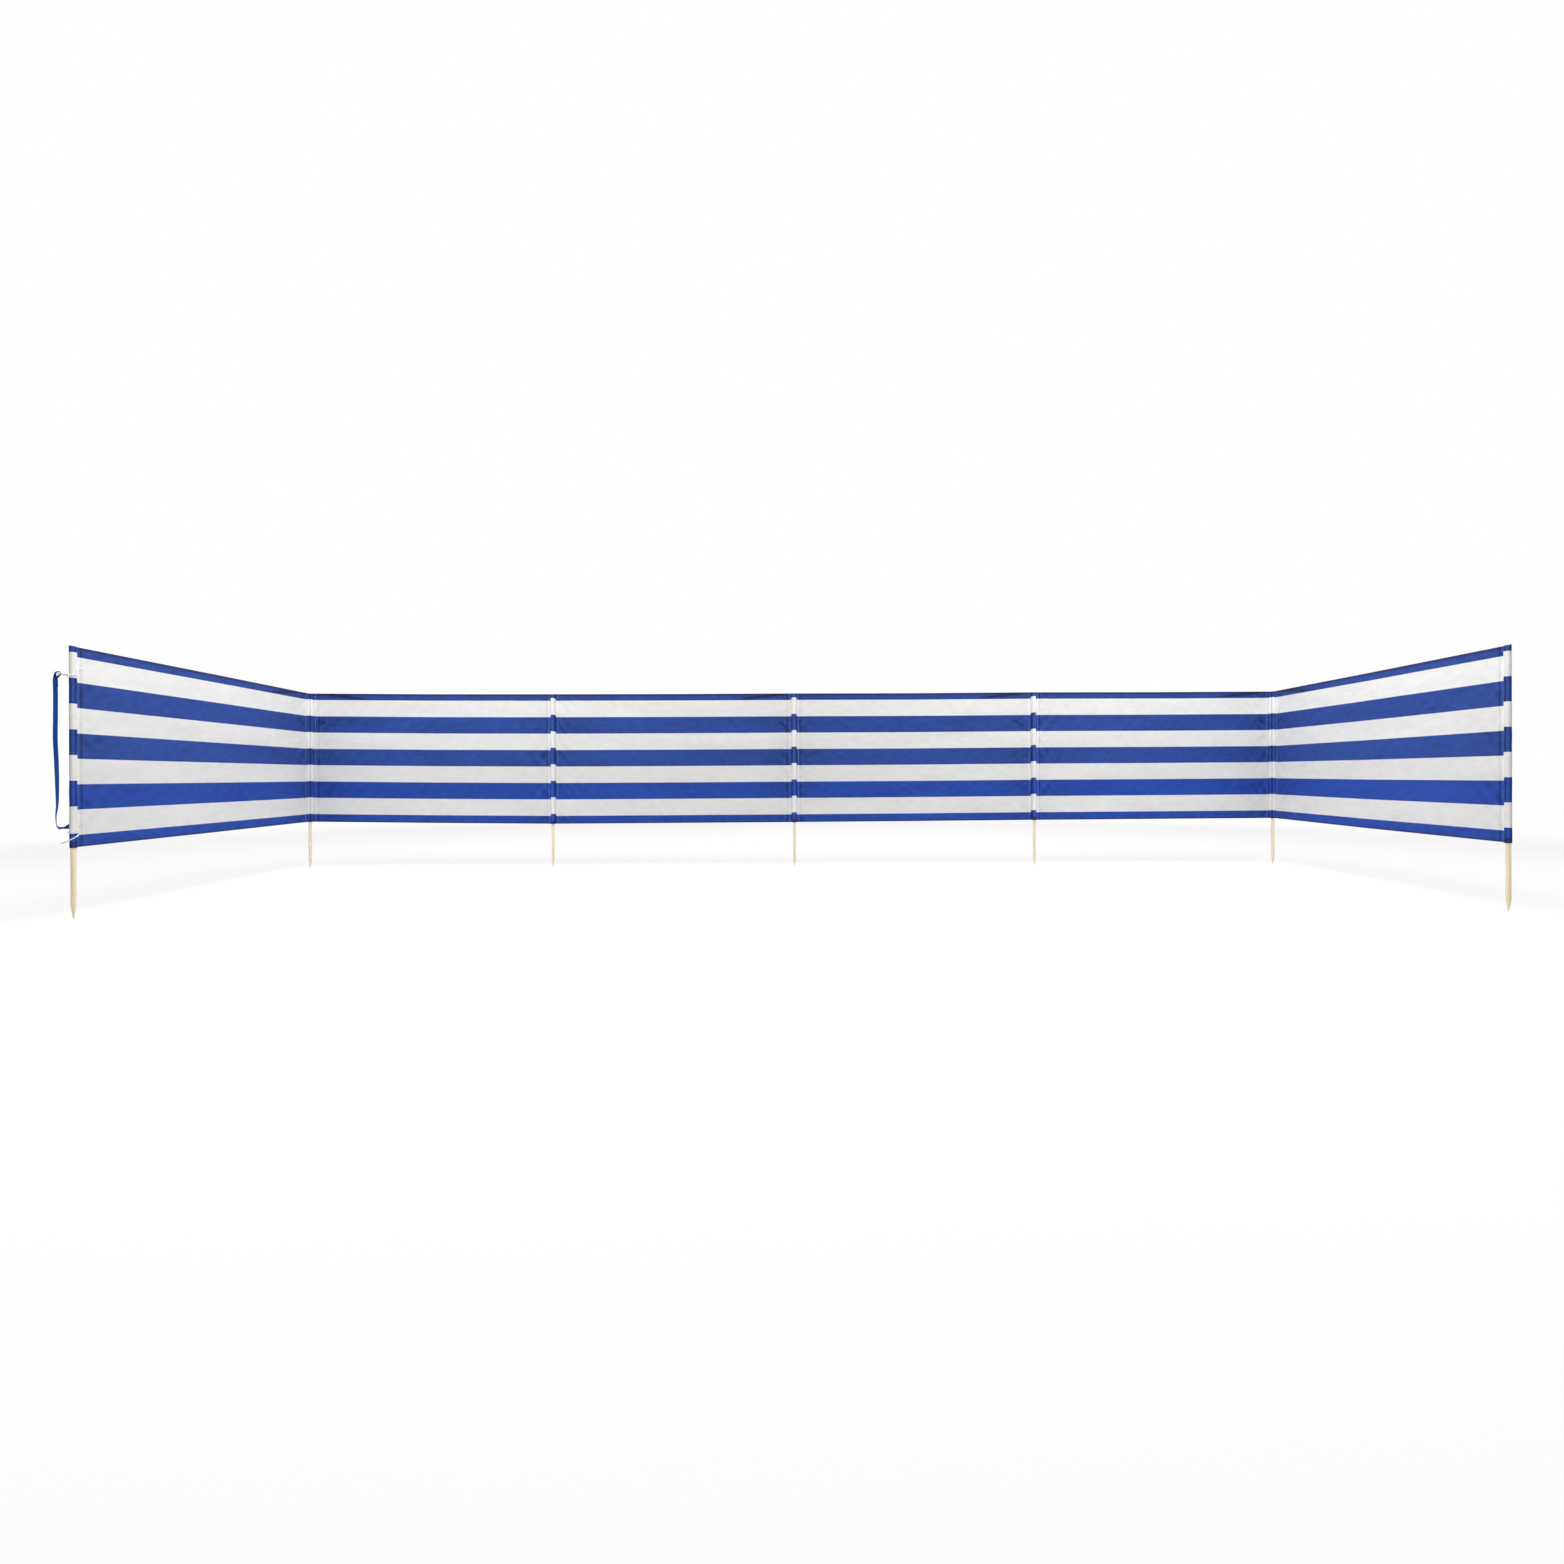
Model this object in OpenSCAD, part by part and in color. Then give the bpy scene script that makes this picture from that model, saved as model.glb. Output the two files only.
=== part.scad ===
// Beach windbreak: seven pointed wooden stakes in cloth sleeves carry six bays of striped
// cloth, set up as a back row of four bays with a wing at each end.
// Millimetres. X runs along the back row, Y points away from the sheltered side, Z is up.
// The origin is the blunt tip of the centre stake.

/* [Stakes] */
// Length of a stake from its blunt tip to its top
stake_length = 1000; // [800:5:1400]
// Diameter of a stake
stake_diameter = 16; // [14:0.5:24]
// Length of the sharpened point
point_length = 46; // [20:1:80]
// Diameter of the blunt end of the point
tip_diameter = 4; // [3:0.5:8]
// Bevel round the top of a stake
top_bevel = 1.5; // [0.5:0.25:3]

/* [Layout] */
// Distance between neighbouring stakes
bay_width = 1400; // [900:10:1800]
// Angle inside the left corner, between the back row and the left wing
left_wing_angle = 86; // [75:1:150]
// Angle inside the right corner, between the back row and the right wing
right_wing_angle = 84; // [75:1:150]

/* [Cloth] */
// Height of the cloth from its bottom edge to its top edge
cloth_height = 740; // [500:5:780]
// Thickness of one layer of cloth
cloth_thickness = 1; // [0.5:0.1:2]
// Depth of the folded hem along the top edge
top_hem = 37; // [20:1:60]
// Depth of the folded hem along the bottom edge
bottom_hem = 45; // [20:1:60]

/* [Sleeves] */
// Play between a stake and the inside of its sleeve
stake_play = 1.3; // [0.3:0.1:2]
// Cloth left above the top of a stake, which closes its sleeve
sleeve_cap = 2; // [1.5:0.5:6]
// Half the width of a sleeve at the panel, on the back row
sleeve_half_width = 17; // [14:0.5:24]
// The same at the ends and the corners, where the sleeve is drawn tighter
tight_sleeve_half_width = 12.5; // [12:0.5:20]
// Distance from a stake's axis to the edge of the sleeve's seam allowance
seam_reach = 30; // [25:0.5:40]

/* [Carry strap] */
// Width of the strap
strap_width = 20; // [12:1:24]
// Thickness of the strap
strap_thickness = 1.4; // [0.8:0.1:1.6]
// Diameter of the tie cords
cord_diameter = 3; // [2:0.25:3]
// Diameter of the holes that the tie cords pass through
tie_hole = 4.4; // [4:0.2:5]
// Distance of the upper tie hole below the cloth's top edge
upper_hole_drop = 104; // [60:1:160]
// Distance of the lower tie hole above the cloth's bottom edge
lower_hole_rise = 54; // [40:1:90]

/* [Hidden] */
$fn = 64;

wood = [0.88, 0.78, 0.62];
blue = [0.15, 0.24, 0.6];
white = [0.92, 0.92, 0.9];
strap_blue = [0.05, 0.27, 0.58];

// Cloth and sleeve places that follow from the sizes above
stake_radius = stake_diameter / 2;
bore_radius = stake_radius + stake_play;
top_play = 0.15 * sleeve_cap;
tube_radius = bore_radius + cloth_thickness;
cloth_top = stake_length + sleeve_cap;
cloth_bottom = cloth_top - cloth_height;
hem_thickness = 2 * cloth_thickness;
end_wrap = 10;
// How far the flat sides of a sleeve are drawn in behind its round front
sleeve_tuck = 0.4 * cloth_thickness;

// Stripes run blue, white, blue and so on from the top hem to the bottom hem
stripe_count = 7;
stripe_height = (cloth_height - top_hem - bottom_hem) / stripe_count;
// The sleeves are cut a little higher on the striped cloth than the panels, least at the corners
sleeve_stripe_lift = 13;
corner_stripe_lift = 2;

// Direction of each bay and place of each stake, from the left end to the right end
headings = [180 - left_wing_angle, 0, 0, 0, 0, right_wing_angle - 180];
last_bay = len(headings) - 1;
left_corner = [-2 * bay_width, 0];
right_corner = [2 * bay_width, 0];
stakes = concat(
    [left_corner - bay_width * along(headings[0])],
    [for (i = [-2 : 2]) [i * bay_width, 0]],
    [right_corner + bay_width * along(headings[last_bay])]
);
last_stake = len(stakes) - 1;

// Routes on the left end stake: x towards the corner, y outwards, z from a tie hole.
// They are drawn for a sleeve of 10.3 mm radius and for tie holes 582 mm apart.
route_fit = tube_radius / 10.3;
tie_hole_x = 14.5 * route_fit;
upper_tie_z = cloth_top - upper_hole_drop;
lower_tie_z = cloth_bottom + lower_hole_rise;
strap_fit = (upper_tie_z - lower_tie_z) / 582;

// Upper tie cord: tail, across the sleeve's front, out through the strap's eye and back
upper_tie_route = [
    [46, 6.8, 30], [37, 7.5, 30], [29, 7.3, 27], [21, 5, 14], [15.5, 1, 2],
    [12.3, -2.4, 0], [9.6, -8, 0], [4.3, -11.8, 0], [-2.2, -12.5, 0], [-8.2, -9.8, -1],
    [-16, -3, -1], [-24.5, 4, 0], [-31, 12, 1], [-31.3, 20, 2], [-24.1, 27, 2],
    [-17, 33.2, 2], [-10, 34, 1.5], [-5, 28.5, 1], [-1, 21.5, 0.5], [4, 16.2, 0],
    [9, 15, 0], [12.8, 15, 0], [14.5, 12.5, 0], [14.5, 8.5, 0], [14.6, 5.5, -3], [16, 3, -9]
];
// Lower tie cord: tail, once round the sleeve, out through the seam and once round again
lower_tie_route = [
    [-12.3, 32, -39], [-12.6, 22, -37], [-13.2, 12, -33], [-13.6, 3.5, -28.5], [-13.2, -0.5, -26],
    [-11.4, -5, -23], [-8, -9.6, -19], [-2.2, -12.5, -15], [4.3, -11.8, -11], [9.6, -8, -7],
    [12.7, -2, -4], [14.4, 4, -1], [14.5, 8.5, 0], [14.5, 12.5, 0], [12, 15, 0],
    [5, 14.4, 1], [-3, 13.7, 1], [-9.6, 9.6, 0], [-13, 3.5, -1], [-12.6, -3, -1],
    [-9, -9.2, -1], [-2.5, -12.8, -0.5], [4, -12.6, 1], [9.6, -9.6, 3]
];
// Strap, from the lower hole up: end sewn back on itself, eye, long hang, end sewn to the panel
strap_route = [
    [-29.1, 31.2, 536], [-29.4, 31.5, 556], [-27.4, 30.7, 568], [-24.1, 27, 574],
    [-20.5, 22.9, 580], [-19.3, 21.5, 585], [-21.2, 23.6, 589.5], [-24.5, 27.4, 590.5],
    [-27.8, 31.1, 588], [-29.4, 33, 581], [-29.7, 33.3, 570], [-29.6, 33.2, 557],
    [-29.1, 32.6, 514], [-29.2, 32.8, 426], [-29.6, 33.2, 339], [-28.6, 32.1, 295],
    [-27.8, 31.1, 251], [-27.1, 30.4, 207], [-26.8, 30, 163], [-26.6, 29.8, 120],
    [-26.9, 30.2, 98], [-28.4, 31.9, 76], [-28.9, 32.4, 54], [-28.2, 31.7, 34],
    [-26.4, 29.6, 24], [-21.8, 24.8, 18], [-14.4, 20.6, 19], [-4.5, 17, 22],
    [4, 14.6, 23.5], [12, 12.2, 23.5], [24, 12.2, 23.5], [36, 12.2, 23.5], [46, 12.2, 23.5]
];
// Turn of the strap about its own length at each point of its route, in degrees
strap_turns = [
    -34, -34, -22, -10, 0, 0, 0, 0, 4, 12, 24, 34, 35, 35, 35, 35, 35, 35, 34, 28,
    24, 19, 10, 4, -12, -30, -16, -45, -76, -90, -90, -90, -90
];
// Horizontal direction across the strap where it isn't turned
strap_across = [0.75, 0.66, 0];

// Unit vector at a heading
function along(heading) = [cos(heading), sin(heading)];

// A route with its heights measured from the ground
function placed(route, base, rise) =
    [for (p = route) [route_fit * p.x, route_fit * p.y, base + rise * p.z]];

// Direction of a route at one of its points
function step_at(route, i) =
    let (a = route[max(i - 1, 0)], b = route[min(i + 1, len(route) - 1)]) (b - a) / norm(b - a);

// Vector made a unit long
function unit(v) = v / norm(v);

// Round ring of points about a route's point
function cord_ring(route, i, radius, sides) =
    let (t = step_at(route, i), u = unit(cross(t, abs(t.z) > 0.8 ? [1, 0, 0] : [0, 0, 1])), v = cross(u, t))
    [for (k = [0 : sides - 1]) route[i] + radius * (cos(360 * k / sides) * u + sin(360 * k / sides) * v)];

// Flat ring of four points about a point of the strap
function strap_ring(route, i) =
    let (
        t = step_at(route, i),
        level = unit(strap_across - (strap_across * t) * t),
        up = cross(t, level),
        w = cos(strap_turns[i]) * level + sin(strap_turns[i]) * up,
        n = cross(t, w),
        half_w = strap_width / 2,
        half_t = strap_thickness / 2
    )
    [for (c = [[-1, -1], [1, -1], [1, 1], [-1, 1]]) route[i] + c.x * half_w * w + c.y * half_t * n];

// Solid through rings of points, closed at both ends
module skin(rings) {
    sides = len(rings[0]);
    last = len(rings) - 1;
    points = [for (ring = rings) for (p = ring) p];
    walls = [
        for (j = [0 : last - 1]) for (k = [0 : sides - 1])
            let (a = j * sides + k, b = j * sides + (k + 1) % sides)
            for (face = [[a, b, b + sides], [a, b + sides, a + sides]]) face
    ];
    start_cap = [[for (k = [0 : sides - 1]) sides - 1 - k]];
    end_cap = [[for (k = [0 : sides - 1]) last * sides + k]];
    polyhedron(points = points, faces = concat(walls, start_cap, end_cap));
}

// Places its children at a stake, turned to a bay's heading
module at_stake(i, heading) {
    translate(concat(stakes[i], 0)) rotate(heading) children();
}

// Colours a flat outline in stripes over the whole height of the cloth
module striped(lift) {
    top_edge = cloth_top - top_hem + lift;
    for (band = [0 : stripe_count + 1]) {
        high = band == 0 ? cloth_top : top_edge - (band - 1) * stripe_height;
        low = band > stripe_count ? cloth_bottom : top_edge - band * stripe_height;
        color(band % 2 == 0 ? blue : white) translate([0, 0, low]) linear_extrude(high - low) children();
    }
}

// One stake: a turned round bar with a blunt point and a bevelled top
module stake(i) {
    color(wood) at_stake(i, 0) rotate_extrude() polygon([
        [0, 0],
        [tip_diameter / 2, 0],
        [stake_radius, point_length],
        [stake_radius, stake_length - top_bevel],
        [stake_radius - top_bevel, stake_length],
        [0, stake_length]
    ]);
}

// Part of the cloth that turns round a stake, measured from the panel
module wrap(angle, layers) {
    if (angle > 0) intersection() {
        difference() {
            circle(tube_radius + layers);
            circle(tube_radius);
        }
        polygon(concat([[0, 0]], [for (k = [0 : 4]) 2 * tube_radius * along(90 + k * angle / 4)]));
    }
}

// Cloth of one bay seen from above, with its turns round the stakes at both ends
module bay_outline(bay, layers) {
    start_turn = bay == 0 ? end_wrap : (headings[bay - 1] - headings[bay]) / 2;
    end_turn = bay == last_bay ? end_wrap : (headings[bay] - headings[bay + 1]) / 2;
    translate([0, tube_radius]) square([bay_width, layers]);
    wrap(start_turn, layers);
    translate([bay_width, 0]) mirror([1, 0]) wrap(end_turn, layers);
}

// Cloth panel of one bay: a single striped sheet with its hems folded to the outside
module panel(bay) {
    at_stake(bay, headings[bay]) {
        striped(0) bay_outline(bay, cloth_thickness);
        color(blue) {
            translate([0, 0, cloth_top - top_hem]) linear_extrude(top_hem) bay_outline(bay, hem_thickness);
            translate([0, 0, cloth_bottom]) linear_extrude(bottom_hem) bay_outline(bay, hem_thickness);
        }
    }
}

// End of a sleeve's side, drawn in behind its round front, with the stake's axis at the centre
function front_point(half_width) =
    (tube_radius - sleeve_tuck)
    * along(atan2(tube_radius, half_width) - acos(tube_radius / norm([half_width, tube_radius])));

// One side of a sleeve: the flat seam allowance, then the side up to the round front
function side_points(half_width) =
    let (
        front = front_point(half_width),
        slope = (half_width - front.x) / (tube_radius - front.y),
        fold = [half_width - slope * cloth_thickness, tube_radius - cloth_thickness]
    )
    [[seam_reach, tube_radius], [seam_reach, fold.y], fold, front];

// Side of a sleeve beside an end or a corner
module sleeve_side(half_width) {
    polygon(concat([[0, 0], [0, tube_radius]], side_points(half_width)));
}

// Sleeve seen from above at one of the two ends, where cloth lies on one side only
module end_sleeve_outline() {
    circle(tube_radius);
    sleeve_side(tight_sleeve_half_width);
}

// Sleeve seen from above where the bays turn a corner
module corner_sleeve_outline(before, after) {
    circle(tube_radius);
    rotate(after) sleeve_side(tight_sleeve_half_width);
    rotate(before) mirror([1, 0]) sleeve_side(tight_sleeve_half_width);
}

// Sleeve seen from above on the straight back row
module straight_sleeve_outline() {
    right = side_points(sleeve_half_width);
    left = [for (k = [len(right) - 1 : -1 : 0]) [-right[k].x, right[k].y]];
    polygon(concat(right, left));
    intersection() {
        circle(tube_radius);
        translate([-tube_radius, -tube_radius]) square([2 * tube_radius, 1.5 * tube_radius]);
    }
}

// Sleeve round one stake, sewn to the sheltered face of the panels beside it
module sleeve(i) {
    inner = i > 0 && i < last_stake;
    corner = inner && headings[i - 1] != headings[i];
    difference() {
        at_stake(i, 0) striped(corner ? corner_stripe_lift : sleeve_stripe_lift) {
            if (i == 0) rotate(headings[0]) end_sleeve_outline();
            else if (i == last_stake) rotate(headings[last_bay]) mirror([1, 0]) end_sleeve_outline();
            else if (corner) corner_sleeve_outline(headings[i - 1], headings[i]);
            else straight_sleeve_outline();
        }
        at_stake(i, 0) cylinder(r = bore_radius, h = stake_length + top_play);
    }
}

// Holes in the left end's seam that let the tie cords through
module tie_holes() {
    for (z = [upper_tie_z, lower_tie_z])
        at_stake(0, headings[0]) translate([tie_hole_x, 0, z]) rotate([-90, 0, 0])
            cylinder(d = tie_hole, h = 2 * tube_radius);
}

// Round cord along a route from one of the tie holes
module tie_cord(shape, hole_z) {
    sides = 8;
    route = placed(shape, hole_z, route_fit);
    color(white) at_stake(0, headings[0])
        skin([for (i = [0 : len(route) - 1]) cord_ring(route, i, cord_diameter / 2, sides)]);
}

// Flat webbing strap beside the left end stake
module carry_strap() {
    route = placed(strap_route, lower_tie_z, strap_fit);
    color(strap_blue) at_stake(0, headings[0])
        skin([for (i = [0 : len(route) - 1]) strap_ring(route, i)]);
}

stake(0);  // left_end_stake
stake(1);  // left_corner_stake
stake(2);  // left_back_stake
stake(3);  // centre_stake
stake(4);  // right_back_stake
stake(5);  // right_corner_stake
stake(6);  // right_end_stake
difference() { panel(0); tie_holes(); }  // left_wing_panel
panel(1);  // back_panel_1
panel(2);  // back_panel_2
panel(3);  // back_panel_3
panel(4);  // back_panel_4
panel(5);  // right_wing_panel
difference() { sleeve(0); tie_holes(); }  // left_end_sleeve
sleeve(1);  // left_corner_sleeve
sleeve(2);  // left_back_sleeve
sleeve(3);  // centre_sleeve
sleeve(4);  // right_back_sleeve
sleeve(5);  // right_corner_sleeve
sleeve(6);  // right_end_sleeve
carry_strap();
tie_cord(upper_tie_route, upper_tie_z);  // upper_tie_cord
tie_cord(lower_tie_route, lower_tie_z);  // lower_tie_cord
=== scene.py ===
import math

import bpy
import numpy as np
from mathutils import Matrix, Vector


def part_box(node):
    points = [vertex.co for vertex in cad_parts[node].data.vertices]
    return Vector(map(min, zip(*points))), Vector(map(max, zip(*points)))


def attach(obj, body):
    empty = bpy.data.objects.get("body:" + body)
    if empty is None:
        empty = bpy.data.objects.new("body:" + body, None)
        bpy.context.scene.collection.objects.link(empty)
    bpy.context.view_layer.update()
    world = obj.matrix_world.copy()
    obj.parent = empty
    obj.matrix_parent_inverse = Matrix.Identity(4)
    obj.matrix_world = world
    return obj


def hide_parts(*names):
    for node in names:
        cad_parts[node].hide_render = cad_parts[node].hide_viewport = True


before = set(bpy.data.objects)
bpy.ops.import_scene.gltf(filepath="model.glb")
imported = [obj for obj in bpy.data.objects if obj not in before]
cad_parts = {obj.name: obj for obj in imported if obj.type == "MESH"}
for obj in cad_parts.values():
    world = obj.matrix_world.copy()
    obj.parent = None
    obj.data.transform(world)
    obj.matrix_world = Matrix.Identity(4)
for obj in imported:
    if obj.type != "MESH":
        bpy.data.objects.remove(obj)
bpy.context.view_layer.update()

# Names of the pieces in the frame, from the left end to the right end
STAKES = [
    "left_end_stake", "left_corner_stake", "left_back_stake", "centre_stake",
    "right_back_stake", "right_corner_stake", "right_end_stake",
]
PANELS = [
    "left_wing_panel", "back_panel_1", "back_panel_2", "back_panel_3", "back_panel_4",
    "right_wing_panel",
]
SLEEVES = [name.replace("stake", "sleeve") for name in STAKES]
LAST_STAKE = len(STAKES) - 1
LAST_BAY = len(PANELS) - 1

# Millimetre, since every size below is in metres
MM = 0.001


def plan_centre(node):
    """Centre of a node seen from above."""
    low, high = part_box(node)
    return np.array([(low.x + high.x) / 2, (low.y + high.y) / 2])


# Sizes and places read from the frame
stake_places = [plan_centre(name) for name in STAKES]
stake_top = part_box("centre_stake")[1].z
cloth_low, cloth_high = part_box("back_panel_2")
cloth_bottom, cloth_top = cloth_low.z, cloth_high.z
cloth_layer = (cloth_high.y - cloth_low.y) / 2
face_reach = cloth_low.y
bay_width = float(np.linalg.norm(stake_places[3] - stake_places[2]))
bay_steps = [stake_places[i + 1] - stake_places[i] for i in range(len(PANELS))]
headings = [math.atan2(step[1], step[0]) for step in bay_steps]

# Sewing sizes of the cloth
TOP_HEM = 37 * MM
BOTTOM_HEM = 45 * MM
STRIPE_COUNT = 7
SLEEVE_LIFT = 13 * MM
CORNER_LIFT = 2 * MM
SLEEVE_HALF = 15.5 * MM
TIGHT_SLEEVE_HALF = 12.5 * MM
SEAM_REACH = 30 * MM
END_WRAP = math.radians(10)
STITCH_PITCH = 4.5 * MM
stripe_height = (cloth_top - cloth_bottom - TOP_HEM - BOTTOM_HEM) / STRIPE_COUNT
first_edge = cloth_top - TOP_HEM

# Finishes, as linear colours
CLOTH_WHITE = (0.805, 0.80, 0.785, 1)
CLOTH_BLUE = (0.0180, 0.056, 0.274, 1)
DEEP_BLUE = (0.012, 0.054, 0.325, 1)
# Painted shade along the folded top and bottom edges of the hems
PAINTED_HEM_SHADE = (0.013, 0.024, 0.120, 1)
WOOD_PALE = (0.91, 0.77, 0.55, 1)
WOOD_DARK = (0.79, 0.62, 0.41, 1)
WOOD_SHOWING = (0.82, 0.75, 0.68, 1)
STRAP_BLUE = (0.0015, 0.066, 0.300, 1)
STRAP_DARK = (0.001, 0.036, 0.170, 1)
CORD_WHITE = (0.88, 0.88, 0.86, 1)
FLECK_RED = (0.45, 0.05, 0.06, 1)
FLECK_BLUE = (0.05, 0.10, 0.42, 1)
THREAD_PALE = (0.78, 0.80, 0.84, 1)
THREAD_BLUE = (0.020, 0.040, 0.170, 1)
FLOOR_WHITE = (0.86, 0.86, 0.86, 1)

# How uneven, how darkened by painted crease shade, and how rough the white and the blue cloth are
WHITE_TONE, BLUE_TONE = 0.09, 0.30
WHITE_CREASE_SHADE, BLUE_CREASE_SHADE = 0.09, 0.60
DEEP_CREASE_SHADE = 0.3
WHITE_ROUGHNESS, BLUE_ROUGHNESS = 0.82, 0.70
CANVAS_SHEEN = 0.03
WEAVE_DEPTH = 0.12 * MM
WEAVE_STRENGTH = 0.5
CLOTH_PITCH = 0.62 * MM
WEBBING_PITCH = 1.15 * MM
# Length of cord in which its tracer yarns go round once
TRACER_LAY = 9.4 * MM

# Painted light that makes the sleeves' cloth brighter than the bays', painted shade that makes the corner
# sleeves' a little darker, and how much of the wood shows through it
SLEEVE_PAINTED_LIGHT = (1.10, 1.10, 1.10, 1)
CORNER_PAINTED_SHADE = (0.98, 0.98, 0.98, 1)
SLEEVE_WOOD_SHARE = 0.35
CORNER_WOOD_SHARE = 0.08


# Shader node helpers

def feed(tree, socket, value):
    """Links a socket to another one, or sets its own value."""
    if isinstance(value, bpy.types.NodeSocket):
        tree.links.new(value, socket)
    else:
        socket.default_value = value


def arithmetic(tree, operation, *values):
    """Result of one operation on values or sockets."""
    made = tree.nodes.new("ShaderNodeMath")
    made.operation = operation
    for socket, value in zip(made.inputs, values):
        feed(tree, socket, value)
    return made.outputs[0]


def ramp(tree, value, start, end, low=0.0, high=1.0):
    """Smooth step of a value, from low at start to high at end."""
    made = tree.nodes.new("ShaderNodeMapRange")
    made.interpolation_type = "SMOOTHSTEP"
    for socket, number in zip(made.inputs, (value, start, end, low, high)):
        feed(tree, socket, number)
    return made.outputs[0]


def blend_colours(tree, share, first, second, kind="MIX"):
    """Two colours blended by a share, mixed or multiplied."""
    made = tree.nodes.new("ShaderNodeMix")
    made.data_type = "RGBA"
    made.blend_type = kind
    for place, value in ((0, share), (6, first), (7, second)):
        feed(tree, made.inputs[place], value)
    return made.outputs[2]


def stretched(tree, vector, sizes):
    """Coordinates divided by a feature size in each direction."""
    made = tree.nodes.new("ShaderNodeVectorMath")
    made.operation = "DIVIDE"
    feed(tree, made.inputs[0], vector)
    made.inputs[1].default_value = sizes
    return made.outputs[0]


def cloudy(tree, vector, sizes, detail=2.0):
    """Noise about the given feature size, between 0 and 1."""
    made = tree.nodes.new("ShaderNodeTexNoise")
    made.inputs["Scale"].default_value = 1.0
    made.inputs["Detail"].default_value = detail
    feed(tree, made.inputs["Vector"], stretched(tree, vector, sizes))
    return made.outputs[0]


def parts_of(tree, vector):
    """The separate coordinates of a place."""
    made = tree.nodes.new("ShaderNodeSeparateXYZ")
    feed(tree, made.inputs[0], vector)
    return made.outputs


def new_group(name, inputs, outputs):
    """Empty node group with its sockets, as (tree, inputs, outputs)."""
    tree = bpy.data.node_groups.new(name, "ShaderNodeTree")
    for label, kind in inputs:
        tree.interface.new_socket(label, in_out="INPUT", socket_type="NodeSocket" + kind)
    for label in outputs:
        tree.interface.new_socket(label, in_out="OUTPUT", socket_type="NodeSocketFloat")
    into = tree.nodes.new("NodeGroupInput").outputs
    out = tree.nodes.new("NodeGroupOutput").inputs
    return tree, into, out


def place_group(tree, group, **values):
    """A group placed in a material, with its inputs set by their names."""
    made = tree.nodes.new("ShaderNodeGroup")
    made.node_tree = group
    for label, value in values.items():
        feed(tree, made.inputs[label], value)
    return made.outputs


def flat_cloth(tree):
    """Place on the flat cloth in metres: along it, and up from the ground."""
    made = tree.nodes.new("ShaderNodeUVMap")
    made.uv_map = "flat_cloth"
    return made.outputs[0]


def new_material(name, roughness, sheen=0.0):
    """Material with one surface shader, as (material, tree, shader)."""
    material = bpy.data.materials.new(name)
    material.use_nodes = True
    tree = material.node_tree
    shader = tree.nodes["Principled BSDF"]
    shader.inputs["Roughness"].default_value = roughness
    shader.inputs["Specular IOR Level"].default_value = 0.25
    shader.inputs["Sheen Weight"].default_value = sheen
    shader.inputs["Sheen Roughness"].default_value = 0.45
    return material, tree, shader


def raise_surface(tree, shader, height, depth, strength):
    """Bump from a height between 0 and 1 that stands for depth metres."""
    bump = tree.nodes.new("ShaderNodeBump")
    bump.inputs["Strength"].default_value = strength
    bump.inputs["Distance"].default_value = depth
    feed(tree, bump.inputs["Height"], height)
    feed(tree, shader.inputs["Normal"], bump.outputs[0])


# Effects that several materials share

def make_weave():
    """Plain weave: warp and weft threads that pass over and under each other."""
    tree, into, out = new_group(
        "plain_weave", [("Cloth", "Vector"), ("Pitch", "Float")], ["Height", "Shade"])
    along, up, _ = parts_of(tree, into["Cloth"])
    turn_a = arithmetic(tree, "MULTIPLY", arithmetic(tree, "DIVIDE", along, into["Pitch"]), math.pi)
    turn_b = arithmetic(tree, "MULTIPLY", arithmetic(tree, "DIVIDE", up, into["Pitch"]), math.pi)
    wave_a = arithmetic(tree, "SINE", turn_a)
    wave_b = arithmetic(tree, "SINE", turn_b)
    warp = arithmetic(tree, "ABSOLUTE", wave_a)
    weft = arithmetic(tree, "ABSOLUTE", wave_b)
    over = ramp(tree, arithmetic(tree, "MULTIPLY", wave_a, wave_b), -0.2, 0.2)
    rise = arithmetic(tree, "MULTIPLY", arithmetic(tree, "SUBTRACT", warp, weft), over)
    height = arithmetic(tree, "ADD", weft, rise)
    feed(tree, out["Height"], height)
    feed(tree, out["Shade"], ramp(tree, height, 0.0, 0.8, 0.86, 1.04))
    return tree


def make_cloth_tone():
    """Uneven tone of woven cloth: soft clouds, small patches, long slub yarns and faint handling marks."""
    tree, into, out = new_group("cloth_tone", [("Cloth", "Vector"), ("Depth", "Float")], ["Tone"])
    clouds = cloudy(tree, into["Cloth"], (0.34, 0.12, 1.0), 3.0)
    yarns = cloudy(tree, into["Cloth"], (0.16, 0.0032, 1.0), 1.0)
    marks = ramp(tree, cloudy(tree, into["Cloth"], (0.21, 0.045, 1.0), 2.0), 0.62, 0.80)
    patches = cloudy(tree, into["Cloth"], (0.052, 0.024, 1.0), 2.0)
    soft = arithmetic(tree, "ADD", arithmetic(tree, "MULTIPLY", clouds, 1.3), yarns)
    spread = arithmetic(tree, "MULTIPLY_ADD", patches, 1.7, soft)
    centred = arithmetic(tree, "SUBTRACT", spread, 2.0)
    marked = arithmetic(tree, "SUBTRACT", centred, arithmetic(tree, "MULTIPLY", marks, 0.6))
    feed(tree, out["Tone"], arithmetic(tree, "MULTIPLY_ADD", marked, into["Depth"], 1.0))
    return tree


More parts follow.
